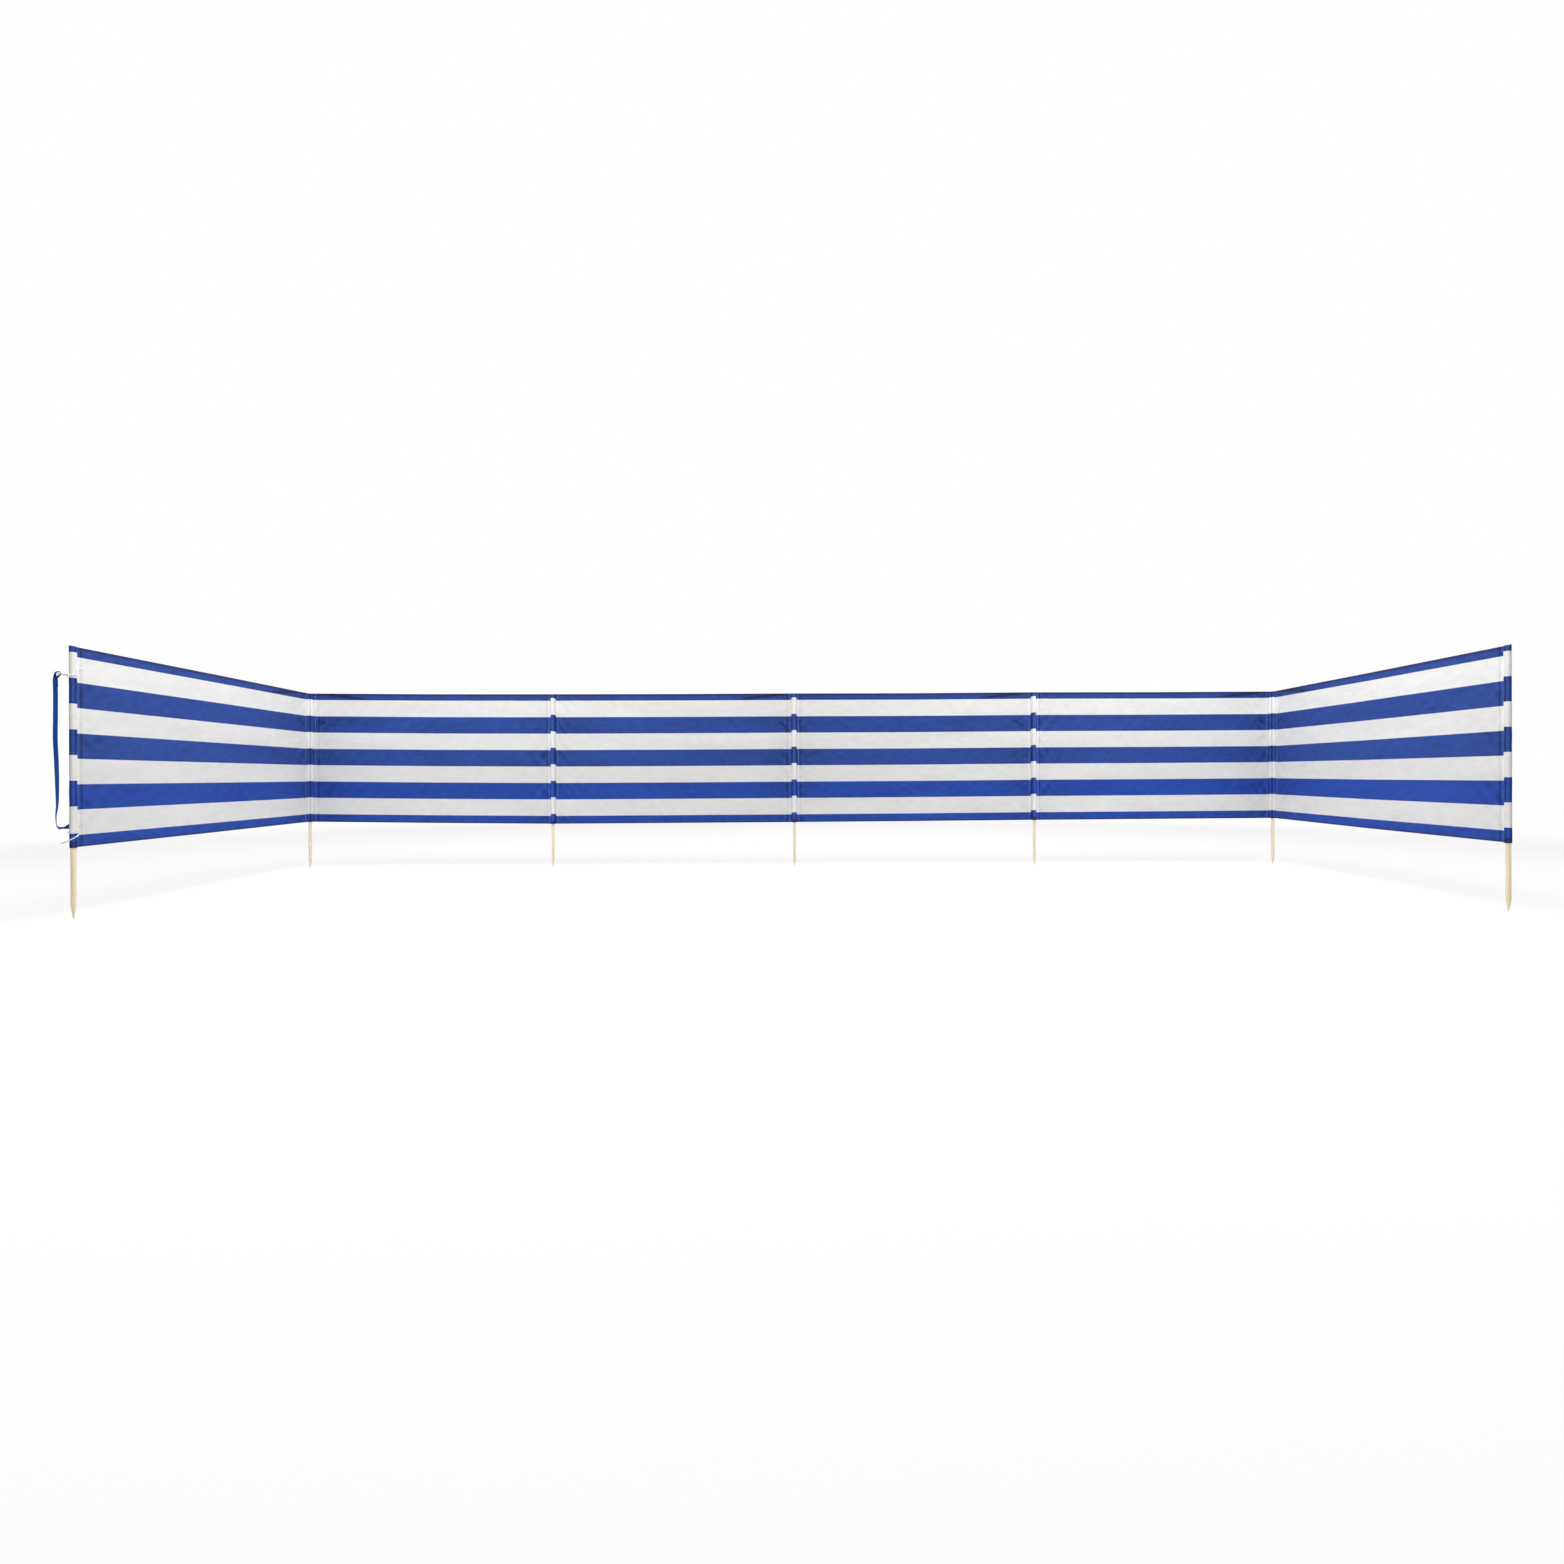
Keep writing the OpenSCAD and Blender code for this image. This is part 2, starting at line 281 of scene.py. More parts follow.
def make_painted_low_shade_and_deep_blue():
    """Painted shade that darkens the white cloth towards the ground, and the share of the deeper blue there.
    """
    tree, into, out = new_group("painted_low_shade_and_deep_blue", [("Cloth", "Vector")], ["Tone", "Low"])
    up = parts_of(tree, into["Cloth"])[1]
    feed(tree, out["Tone"], ramp(tree, up, cloth_bottom + 0.24, cloth_top - 0.04, 0.88, 0.99))
    feed(tree, out["Low"], ramp(tree, up, cloth_bottom + 0.28, cloth_bottom + 0.20))
    return tree


def make_stripes():
    """Share of blue in the striped cloth, from the height on the flat cloth, and the share of painted shade
    along the folded top and bottom edges.
    """
    tree, into, out = new_group("cloth_stripes", [("Cloth", "Vector")], ["Blue", "Painted fold shade"])
    up = parts_of(tree, into["Cloth"])[1]
    wander = arithmetic(tree, "MULTIPLY", cloudy(tree, into["Cloth"], (0.003, 0.003, 1.0)), 0.8 * MM)
    place = arithmetic(tree, "ADD", up, wander)
    count = arithmetic(tree, "DIVIDE", arithmetic(tree, "SUBTRACT", first_edge, place), stripe_height)
    wave = arithmetic(tree, "SINE", arithmetic(tree, "MULTIPLY", count, math.pi))
    feed(tree, out["Blue"], ramp(tree, wave, 0.015, -0.015))
    # Painted shade along the folded top and bottom edges, where the folds turn away from the light
    top_fold = ramp(tree, up, cloth_top - 15 * MM, cloth_top - 7 * MM)
    bottom_fold = ramp(tree, up, cloth_bottom + 10 * MM, cloth_bottom + 3 * MM)
    feed(tree, out["Painted fold shade"], arithmetic(tree, "MAXIMUM", top_fold, bottom_fold))
    return tree


def make_fibres():
    """Loose fibre ends that soften yarn, webbing and thread."""
    tree, into, out = new_group(
        "yarn_fibres", [("Place", "Vector"), ("Depth", "Float")], ["Tone", "Height"])
    fuzz = cloudy(tree, into["Place"], (0.0009, 0.0005, 0.0007), 3.0)
    centred = arithmetic(tree, "SUBTRACT", fuzz, 0.5)
    feed(tree, out["Tone"], arithmetic(tree, "MULTIPLY_ADD", centred, into["Depth"], 1.0))
    feed(tree, out["Height"], fuzz)
    return tree


weave = make_weave()
cloth_tone = make_cloth_tone()
painted_low_shade_and_deep_blue = make_painted_low_shade_and_deep_blue()
stripes = make_stripes()
fibres = make_fibres()


def toned(tree, colour, *tones):
    """A colour multiplied by one or more shades."""
    for tone in tones:
        colour = blend_colours(tree, 1.0, colour, tone, "MULTIPLY")
    return colour


def dyed_and_shaded_cloth(tree, place):
    """Striped colour with painted shade along its folded edges, painted shade and highlights in its creases
    and lines, and painted shade towards the ground; the share of blue, and the weave's height.
    """
    bands = place_group(tree, stripes, Cloth=place)
    blue = bands["Blue"]
    threads = place_group(tree, weave, Cloth=place, Pitch=CLOTH_PITCH)
    unevenness = ramp(tree, blue, 0.0, 1.0, WHITE_TONE, BLUE_TONE)
    tone = place_group(tree, cloth_tone, Cloth=place, Depth=unevenness)
    low_shade_and_deep_blue = place_group(tree, painted_low_shade_and_deep_blue, Cloth=place)
    dye = blend_colours(tree, low_shade_and_deep_blue["Low"], CLOTH_BLUE, DEEP_BLUE)
    # The blue with painted shade along its folded edges
    blue_with_fold_shade = blend_colours(tree, bands["Painted fold shade"], dye, PAINTED_HEM_SHADE)
    colour = blend_colours(tree, blue, CLOTH_WHITE, blue_with_fold_shade)
    # Painted shade and highlights of folds, creases and seam lines, kept on the mesh's points
    crease = tree.nodes.new("ShaderNodeAttribute")
    crease.attribute_name = "painted_shade_and_highlight"
    darkness = crease.outputs["Fac"]
    depth = ramp(tree, blue, 0.0, 1.0, WHITE_CREASE_SHADE, BLUE_CREASE_SHADE)
    shallow = arithmetic(tree, "MULTIPLY", arithmetic(tree, "MINIMUM", darkness, 1.0), depth)
    deep = arithmetic(tree, "MAXIMUM", arithmetic(tree, "SUBTRACT", darkness, 1.0), 0.0)
    # Painted crease shade, deeper on blue than on white
    painted_crease_shade = arithmetic(tree, "SUBTRACT", 1.0, arithmetic(tree, "MULTIPLY_ADD", deep, DEEP_CREASE_SHADE, shallow))
    # Painted shade on the white cloth, darker towards the ground
    painted_low_shade = blend_colours(tree, blue, low_shade_and_deep_blue["Tone"], (1, 1, 1, 1))
    tones = (tone["Tone"], threads["Shade"], painted_crease_shade, painted_low_shade)
    return toned(tree, colour, *tones), blue, threads["Height"]


def finish_canvas(tree, shader, colour, blue, threads):
    """Colour, roughness and weave of a canvas surface."""
    feed(tree, shader.inputs["Base Color"], colour)
    feed(tree, shader.inputs["Roughness"], ramp(tree, blue, 0.0, 1.0, WHITE_ROUGHNESS, BLUE_ROUGHNESS))
    raise_surface(tree, shader, threads, WEAVE_DEPTH, WEAVE_STRENGTH)


def panel_cloth():
    """Blue and white canvas of the bays."""
    material, tree, shader = new_material("striped_canvas", WHITE_ROUGHNESS, CANVAS_SHEEN)
    finish_canvas(tree, shader, *dyed_and_shaded_cloth(tree, flat_cloth(tree)))
    return material


def sleeve_cloth(name, wood_share, painted_brightness):
    """The same canvas on a sleeve, where a share of the pale wood shows through the white stripes, and whose
    colour is scaled by a painted brightness.
    """
    material, tree, shader = new_material(name, WHITE_ROUGHNESS, CANVAS_SHEEN)
    place = flat_cloth(tree)
    across = arithmetic(tree, "ABSOLUTE", parts_of(tree, place)[0])
    colour, blue, threads = dyed_and_shaded_cloth(tree, place)
    on_wood = ramp(tree, across, 13 * MM, 8 * MM)
    uneven = ramp(tree, cloudy(tree, place, (0.02, 0.07, 1.0)), 0.3, 0.7, 0.35, 1.0)
    showing = arithmetic(tree, "MULTIPLY", arithmetic(tree, "MULTIPLY", on_wood, uneven), wood_share)
    white_only = arithmetic(tree, "MULTIPLY", showing, arithmetic(tree, "SUBTRACT", 1.0, blue))
    warm = blend_colours(tree, white_only, colour, WOOD_SHOWING)
    # Painted light on the tubes' cloth, painted shade on the corner sleeves' cloth
    finish_canvas(tree, shader, toned(tree, warm, painted_brightness), blue, threads)
    return material


def stake_wood():
    """Pale turned wood with long grain, a few darker lines and a rougher point."""
    material, tree, shader = new_material("pale_stake_wood", 0.6)
    place = tree.nodes.new("ShaderNodeTexCoord").outputs["Object"]
    up = parts_of(tree, place)[2]
    bands = cloudy(tree, place, (0.011, 0.011, 0.42), 2.0)
    lines = cloudy(tree, place, (0.0016, 0.0016, 0.11), 3.0)
    pores = cloudy(tree, place, (0.0007, 0.0007, 0.012), 2.0)
    broad = ramp(tree, bands, 0.40, 0.62, 0.0, 0.45)
    fine = ramp(tree, lines, 0.52, 0.72, 0.0, 0.40)
    grain = arithmetic(tree, "ADD", broad, fine)
    point = ramp(tree, up, 36 * MM, 4 * MM, 0.0, 0.22)
    share = arithmetic(tree, "ADD", grain, point)
    wood = blend_colours(tree, share, WOOD_PALE, WOOD_DARK)
    feed(tree, shader.inputs["Base Color"], toned(tree, wood, ramp(tree, pores, 0.25, 0.6, 0.90, 1.03)))
    feed(tree, shader.inputs["Roughness"], ramp(tree, lines, 0.3, 0.7, 0.52, 0.70))
    raise_surface(tree, shader, arithmetic(tree, "ADD", lines, pores), 0.15 * MM, 0.35)
    return material


def strap_webbing():
    """Blue woven webbing with darker selvedges."""
    material, tree, shader = new_material("strap_webbing", 0.68)
    shader.inputs["Specular IOR Level"].default_value = 0.12
    place = flat_cloth(tree)
    edge = ramp(tree, arithmetic(tree, "ABSOLUTE", parts_of(tree, place)[1]), 6.5 * MM, 9.5 * MM)
    threads = place_group(tree, weave, Cloth=place, Pitch=WEBBING_PITCH)
    tone = place_group(tree, cloth_tone, Cloth=place, Depth=0.22)
    fuzz = place_group(tree, fibres, Place=place, Depth=0.25)
    colour = blend_colours(tree, edge, STRAP_BLUE, STRAP_DARK)
    feed(tree, shader.inputs["Base Color"], toned(tree, colour, tone["Tone"], threads["Shade"], fuzz["Tone"]))
    feed(tree, shader.inputs["Roughness"], ramp(tree, threads["Height"], 0.0, 1.0, 0.78, 0.64))
    raise_surface(tree, shader, threads["Height"], 0.25 * MM, 0.7)
    return material


def tie_braid():
    """White braided cord with a red and a blue tracer yarn."""
    material, tree, shader = new_material("tie_braid", 0.8, 0.15)
    place = flat_cloth(tree)
    along, around, _ = parts_of(tree, place)
    turns = arithmetic(tree, "ADD", arithmetic(tree, "MULTIPLY", along, 1 / TRACER_LAY), around)
    phase = arithmetic(tree, "FRACT", turns)
    red = ramp(tree, arithmetic(tree, "ABSOLUTE", arithmetic(tree, "SUBTRACT", phase, 0.25)), 0.07, 0.04)
    blue = ramp(tree, arithmetic(tree, "ABSOLUTE", arithmetic(tree, "SUBTRACT", phase, 0.75)), 0.07, 0.04)
    shown = ramp(tree, cloudy(tree, place, (0.009, 4.0, 1.0)), 0.46, 0.56)
    fuzz = place_group(tree, fibres, Place=place, Depth=0.3)
    tracer = blend_colours(tree, arithmetic(tree, "MULTIPLY", red, shown), CORD_WHITE, FLECK_RED)
    flecked = blend_colours(tree, arithmetic(tree, "MULTIPLY", blue, shown), tracer, FLECK_BLUE)
    feed(tree, shader.inputs["Base Color"], toned(tree, flecked, fuzz["Tone"]))
    feed(tree, shader.inputs["Roughness"], ramp(tree, fuzz["Height"], 0.2, 0.8, 0.72, 0.9))
    raise_surface(tree, shader, fuzz["Height"], 0.15 * MM, 0.5)
    return material


def sewing_thread(name, colour):
    """Twisted sewing thread."""
    material, tree, shader = new_material(name, 0.6, 0.1)
    place = tree.nodes.new("ShaderNodeTexCoord").outputs["Object"]
    fuzz = place_group(tree, fibres, Place=place, Depth=0.5)
    feed(tree, shader.inputs["Base Color"], toned(tree, colour, fuzz["Tone"]))
    feed(tree, shader.inputs["Roughness"], ramp(tree, fuzz["Height"], 0.2, 0.8, 0.5, 0.75))
    raise_surface(tree, shader, fuzz["Height"], 0.05 * MM, 0.5)
    return material


CANVAS = panel_cloth()
SLEEVE_CANVAS = sleeve_cloth("sleeve_canvas", SLEEVE_WOOD_SHARE, SLEEVE_PAINTED_LIGHT)
CORNER_CANVAS = sleeve_cloth("corner_canvas", CORNER_WOOD_SHARE, CORNER_PAINTED_SHADE)
WOOD = stake_wood()
WEBBING = strap_webbing()
BRAID = tie_braid()
PALE_THREAD = sewing_thread("pale_thread", THREAD_PALE)
BLUE_THREAD = sewing_thread("blue_thread", THREAD_BLUE)


# Mesh helpers

def new_piece(name, points, faces, material, slot, flat=None, shade=None):
    """Mesh object that rides on the frame, with flat cloth places of corners and painted shades and
    highlights of points.
    """
    mesh = bpy.data.meshes.new(name)
    mesh.from_pydata([tuple(p) for p in points], [], faces)
    mesh.polygons.foreach_set("use_smooth", [True] * len(mesh.polygons))
    if flat is not None:
        layer = mesh.uv_layers.new(name="flat_cloth")
        layer.data.foreach_set("uv", np.asarray(flat, np.float32).ravel())
    if shade is not None:
        layer = mesh.attributes.new("painted_shade_and_highlight", "FLOAT", "POINT")
        layer.data.foreach_set("value", np.asarray(shade, np.float32).ravel())
    mesh.materials.append(material)
    mesh.validate()
    piece = bpy.data.objects.new(name, mesh)
    bpy.context.scene.collection.objects.link(piece)
    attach(piece, "root")
    return piece


def corner_places(faces, places):
    """Place on the flat cloth for each corner of each face, from those of the points."""
    return [places[corner] for face in faces for corner in face]


def ring_faces(rings, sides, closed=True):
    """Quads between neighbouring rings of points, each ring closed or open."""
    steps = sides if closed else sides - 1
    faces = []
    for ring in range(rings - 1):
        for side in range(steps):
            a = ring * sides + side
            b = ring * sides + (side + 1) % sides
            faces.append((a, b, b + sides, a + sides))
    return faces


def capped_faces(rings, sides):
    """Quads between closed rings, and a flat face at each end."""
    last = (rings - 1) * sides
    caps = [tuple(range(sides - 1, -1, -1)), tuple(range(last, last + sides))]
    return ring_faces(rings, sides) + caps


def unit(vectors):
    """Vectors brought to length one."""
    return vectors / np.maximum(np.linalg.norm(vectors, axis=-1, keepdims=True), 1e-12)


def run_along(points):
    """Distance travelled at each point of a line."""
    return np.concatenate([[0], np.cumsum(np.linalg.norm(np.diff(points, axis=0), axis=1))])


def curve_through(points, spacing):
    """Smooth curve through points, sampled evenly, with each sample's place among the points and its run."""
    points = np.asarray(points, float)
    ends = [2 * points[0] - points[1]], [2 * points[-1] - points[-2]]
    padded = np.concatenate([ends[0], points, ends[1]])
    curve, index = [], []
    for i in range(len(points) - 1):
        before, start, end, after = padded[i:i + 4]
        gaps = np.linalg.norm(np.diff(padded[i:i + 4], axis=0), axis=1)
        knots = np.concatenate([[0], np.cumsum(np.maximum(gaps, 1e-9) ** 0.5)])
        for t in np.linspace(knots[1], knots[2], 24, endpoint=False):
            a1 = ((knots[1] - t) * before + (t - knots[0]) * start) / (knots[1] - knots[0])
            a2 = ((knots[2] - t) * start + (t - knots[1]) * end) / (knots[2] - knots[1])
            a3 = ((knots[3] - t) * end + (t - knots[2]) * after) / (knots[3] - knots[2])
            b1 = ((knots[2] - t) * a1 + (t - knots[0]) * a2) / (knots[2] - knots[0])
            b2 = ((knots[3] - t) * a2 + (t - knots[1]) * a3) / (knots[3] - knots[1])
            curve.append(((knots[2] - t) * b1 + (t - knots[1]) * b2) / (knots[2] - knots[1]))
            index.append(i + (t - knots[1]) / (knots[2] - knots[1]))
    curve = np.array(curve + [points[-1]])
    index = np.array(index + [len(points) - 1])
    run = run_along(curve)
    even = np.linspace(0, run[-1], int(run[-1] / spacing) + 1)
    sampled = np.stack([np.interp(even, run, curve[:, k]) for k in range(3)], axis=1)
    return sampled, np.interp(even, run, index), even


def length_of(points):
    """Length of a line of points."""
    return float(run_along(points)[-1])


# Plan of the bays: x runs along a bay from its first stake, y points outwards

def to_world(bay, points):
    """Points of a bay's own plan, moved to the frame."""
    c, s = math.cos(headings[bay]), math.sin(headings[bay])
    points = np.asarray(points, float)
    origin = stake_places[bay]
    x = origin[0] + c * points[..., 0] - s * points[..., 1]
    y = origin[1] + s * points[..., 0] + c * points[..., 1]
    return np.stack([x, y, points[..., 2]], axis=-1)


def turns_of(bay):
    """Angle that a bay's cloth turns round its first and its last stake."""
    start = END_WRAP if bay == 0 else (headings[bay - 1] - headings[bay]) / 2
    end = END_WRAP if bay == LAST_BAY else (headings[bay] - headings[bay + 1]) / 2
    return start, end


def cloth_line(along):
    """Plan places on the sheltered face and outward directions, at distances along a bay's cloth."""
    along = np.asarray(along, float)
    before = np.maximum(-along, 0) / face_reach
    beyond = np.maximum(along - bay_width, 0) / face_reach
    angle = beyond - before
    out = np.stack([np.sin(angle), np.cos(angle)], axis=-1)
    centre = np.stack([np.clip(along, 0, bay_width), np.zeros_like(along)], axis=-1)
    return centre + face_reach * out, out


# Lie of the cloth

# Distance from a stake within which the cloth lies flat on its seam
CALM_REACH = 32 * MM
# How far the cloth bellies out, and how deep its long folds, its slack and its small folds are
BELLY_DEPTH = 5.0 * MM
LONG_FOLD_DEPTH = 1.0 * MM
SLACK_DEPTH = 0.55 * MM
SMALL_FOLD_DEPTH = 0.12 * MM
# Millimetres that the top edge hangs higher and the bottom edge lower, at each stake and each bay's middle
TOP_RISE = [4.5, 7.6, 7, 1.8, 0, 0.3, 1.8, 2.4, 5.7, 5.7, 7.5, 4.2, 1.7]
BOTTOM_DROP = [2.2, 0.9, -3.6, 6.3, 13, 11.4, 8.4, 5.4, 0.6, -1.8, -5.4, 2.6, 5.6]
# Sharp folds beside the seams: stake, side, then start and end as millimetres from the stake and height
SHARP_FOLDS = [
    (1, -1, (34, 819), (72, 846)), (1, 1, (50, 819), (84, 846)), (3, -1, (37, 805), (84, 835)),
    (4, -1, (71, 813), (112, 840)), (5, -1, (46, 814), (78, 843)), (5, 1, (30, 814), (68, 843)),
]
# Stake and side of the creased bay ends, each with a painted fold shade that slants down the top hem from it
CREASED_ENDS = [(1, -1), (1, 1), (3, -1), (4, -1), (5, -1), (5, 1)]
HEM_FOLD_START = (50 * MM, -2 * MM)
HEM_FOLD_END = (330 * MM, -34 * MM)
HEM_FOLD_WIDTH = 7 * MM
FOLD_DEPTH = 2.0 * MM
FOLD_WIDTH = 4.0 * MM
CREASE_DEPTH = 1.3 * MM
# Height where most sharp folds lie, and how far above and below it the mesh is closer
FOLD_HEIGHT = 0.826
FOLD_SPREAD = 0.036
# How far from a stake the painted crumple shade is strongest, and how far the painted shade towards it
# reaches
CRUMPLE_REACH = 0.085
END_SHADE_REACH = 0.24
# Painted shade of the folds and uneven places, on a scale where one is a full crease; painted light in a
# bay's middle
SHARP_FOLD_DARKNESS = 1.6
SOFT_CREASE_DARKNESS = 0.5
HEM_FOLD_DARKNESS = 1.6
CRUMPLE_DARKNESS = 0.36
CREASED_END_SHADE = 0.28
PLAIN_END_SHADE = 0.16
MIDDLE_PAINTED_LIGHT = 0.08
PALEST, DARKEST = -1, 1.3
# Painted shadow and highlight lines beside a stake, at the edges of its seam allowance, by stake and side:
# millimetres from the stake, width and darkness, where a darkness below zero is a painted highlight line
PAINTED_SEAM_LINES = {
    (0, 1): [(33, 5, -0.4), (43, 3.4, 1.4)],
    (1, -1): [(37, 4, 0.3), (45, 4, -0.25)],
    (1, 1): [(35, 4, -0.2), (46, 3, 0.5), (58, 4, -0.25)],
    (2, -1): [(23.5, 4, -0.4), (35.5, 3, 0.8)],
    (3, -1): [(42, 3, 0.7), (54, 4, -0.25)],
    (3, 1): [(23.5, 4, -0.4), (36, 3, 0.8)],
    (4, -1): [(64, 3, 0.5)],
    (4, 1): [(23.5, 4, -0.4), (35.5, 3, 0.9)],
    (5, -1): [(20.5, 3, 0.6), (32, 4, -0.3)],
    (5, 1): [(53, 4, -0.25)],
    (6, -1): [(33, 5, -0.4), (43, 3.4, 1.4)],
}
# Soft creases that fan out from the seams: stake, side, height, angle, length, then depth and width
# in millimetres
SOFT_CREASES = [
    (1, -1, 0.742, -34, 0.150, 1.3, 7.0), (1, 1, 0.745, -32, 0.160, 1.4, 7.0),
    (1, 1, 0.846, -18, 0.120, 0.9, 8.0), (2, 1, 0.800, 66, 0.060, -1.2, 4.0),
    (2, 1, 0.628, 62, 0.055, -1.2, 4.0), (2, -1, 0.640, 24, 0.110, 0.9, 8.0),
    (3, -1, 0.742, -25, 0.150, 1.2, 6.0), (3, -1, 0.728, -33, 0.120, 1.0, 6.0),
    (3, 1, 0.700, -30, 0.130, 0.9, 8.0), (3, -1, 0.560, -26, 0.120, 0.9, 8.0),
    (4, -1, 0.735, -30, 0.140, 1.2, 7.0), (4, 1, 0.690, 28, 0.110, 0.9, 8.0),
    (5, -1, 0.742, -32, 0.160, 1.3, 7.0), (5, 1, 0.738, -34, 0.150, 1.3, 7.0),
    (0, 1, 0.640, 16, 0.180, 0.8, 10.0), (6, -1, 0.655, 18, 0.180, 0.8, 10.0),
]


def fade(values, start, end):
    """Smooth rise from 0 at start to 1 at end."""
    t = np.clip((values - start) / (end - start), 0, 1)
    return t * t * (3 - 2 * t)


def bell(values, place, width):
    """Bell of height one round a place."""
    return np.exp(-(((values - place) / width) ** 2))


def line_shade(values, lines):
    """Darkness that a list of lines, each with a place, a width and a darkness, gives to values."""
    total = np.zeros_like(values)
    for place, width, darkness in lines:
        total += darkness * bell(values, place, width)
    return total


def ripples(rng, along, up, count, along_sizes, up_sizes):
    """Sum of slanting waves of the given sizes, about one high."""
    total = np.zeros_like(along)
    for _ in range(count):
        wave_along = rng.uniform(*along_sizes) * rng.choice([-1, 1])
        wave_up = rng.uniform(*up_sizes)
        phase = rng.uniform(0, 2 * math.pi)
        total += np.sin(2 * math.pi * (along / wave_along + up / wave_up) + phase)
    return total / math.sqrt(count)


def beside(bay, stake, side):
    """Whether a place beside a stake lies in a bay."""
    return (stake, side) in ((bay, 1), (bay + 1, -1))


def sharp_folds(bay, along, up):
    """Share of a sharp fold at places of a bay, one along a fold's middle."""
    total = np.zeros_like(along)
    for stake, side, start, end in SHARP_FOLDS:
        if not beside(bay, stake, side):
            continue
        start, end = np.array(start) * MM, np.array(end) * MM
        length = np.linalg.norm(end - start)
        step = (end - start) / length
        away = (along if side > 0 else bay_width - along) - start[0]
        rise = up - start[1]
        run = away * step[0] + rise * step[1]
        across = rise * step[0] - away * step[1]
        shape = fade(run, -0.15 * length, 0.2 * length) * (1 - fade(run, 0.75 * length, 1.2 * length))
        total += shape * bell(across, 0.0, FOLD_WIDTH)
    return total


def soft_creases(bay, along, up):
    """Shallow creases that run from the seams into a bay."""
    total = np.zeros_like(along)
    for stake, side, height, angle, length, depth, width in SOFT_CREASES:
        if not beside(bay, stake, side):
            continue
        away = (along if side > 0 else bay_width - along) - SEAM_REACH
        a = math.radians(angle)
        run = away * math.cos(a) + (up - height) * math.sin(a)
        across = (up - height) * math.cos(a) - away * math.sin(a)
        shape = fade(run, 0.0, 0.12 * length) * (1 - fade(run, 0.35 * length, length))
        total += depth * MM * shape * bell(across, 0.0, width * MM)
    return total


def painted_seam_lines(stake, side, distance):
    """Painted shadow and highlight lines upright on one side of a stake, at the edges of its seam allowance.
    """
    return line_shade(distance / MM, PAINTED_SEAM_LINES.get((stake, side), []))


def painted_hem_fold_shade(bay, along, up):
    """Painted shade of the slanting folds in a bay's top hem."""
    total = np.zeros_like(along)
    for stake, side in CREASED_ENDS:
        if not beside(bay, stake, side):
            continue
        away = along if side > 0 else bay_width - along
        share = (away - HEM_FOLD_START[0]) / (HEM_FOLD_END[0] - HEM_FOLD_START[0])
        middle = cloth_top + HEM_FOLD_START[1] + share * (HEM_FOLD_END[1] - HEM_FOLD_START[1])
        shape = fade(share, -0.15, 0.25) * (1 - fade(share, 0.65, 1.15))
        total += shape * bell(up, middle, HEM_FOLD_WIDTH)
    return total * fade(up, first_edge - 1 * MM, first_edge)


def painted_crumple_shade(bay, along, up):
    """Painted shade and highlights of small crumples in the cloth, strongest near the stakes."""
    rng = np.random.default_rng(90 + bay)
    distance = np.minimum(np.abs(along), np.abs(bay_width - along))
    near = 0.25 + 0.75 * bell(distance, 0.0, CRUMPLE_REACH)
    return near * ripples(rng, along, up, 7, (0.035, 0.10), (0.045, 0.12))


def painted_end_shade(bay, along):
    """Painted shade of a bay towards its stakes, most at the creased ends, and painted light in its middle.
    """
    first = CREASED_END_SHADE if (bay, 1) in CREASED_ENDS else PLAIN_END_SHADE
    second = CREASED_END_SHADE if (bay + 1, -1) in CREASED_ENDS else PLAIN_END_SHADE
    ends = first * bell(along, 0.0, END_SHADE_REACH) + second * bell(along, bay_width, END_SHADE_REACH)
    return ends - MIDDLE_PAINTED_LIGHT


def painted_shade_and_highlight(bay, along, up):
    """Painted shade in a bay's folds, crumples and seam lines and towards its stakes, and painted highlights
    where it is below zero.
    """
    lines = painted_seam_lines(bay, 1, along) + painted_seam_lines(bay + 1, -1, bay_width - along)
    uneven = CRUMPLE_DARKNESS * painted_crumple_shade(bay, along, up) + painted_end_shade(bay, along)
    sharp = SHARP_FOLD_DARKNESS * sharp_folds(bay, along, up)
    soft = SOFT_CREASE_DARKNESS * soft_creases(bay, along, up) / CREASE_DEPTH
    hems = HEM_FOLD_DARKNESS * painted_hem_fold_shade(bay, along, up)
    return np.clip(sharp + soft + lines + uneven, PALEST, DARKEST) + hems


def hang(stretch, up):
    """How far cloth hangs above its flat height, at distances along the windbreak counted in bays."""
    places = np.arange(len(TOP_RISE)) / 2
    rise = np.interp(stretch, places, TOP_RISE) * MM
    drop = np.interp(stretch, places, BOTTOM_DROP) * MM
    share = np.clip((up - cloth_bottom) / (cloth_top - cloth_bottom), 0, 1)
    return share * rise - (1 - share) * drop


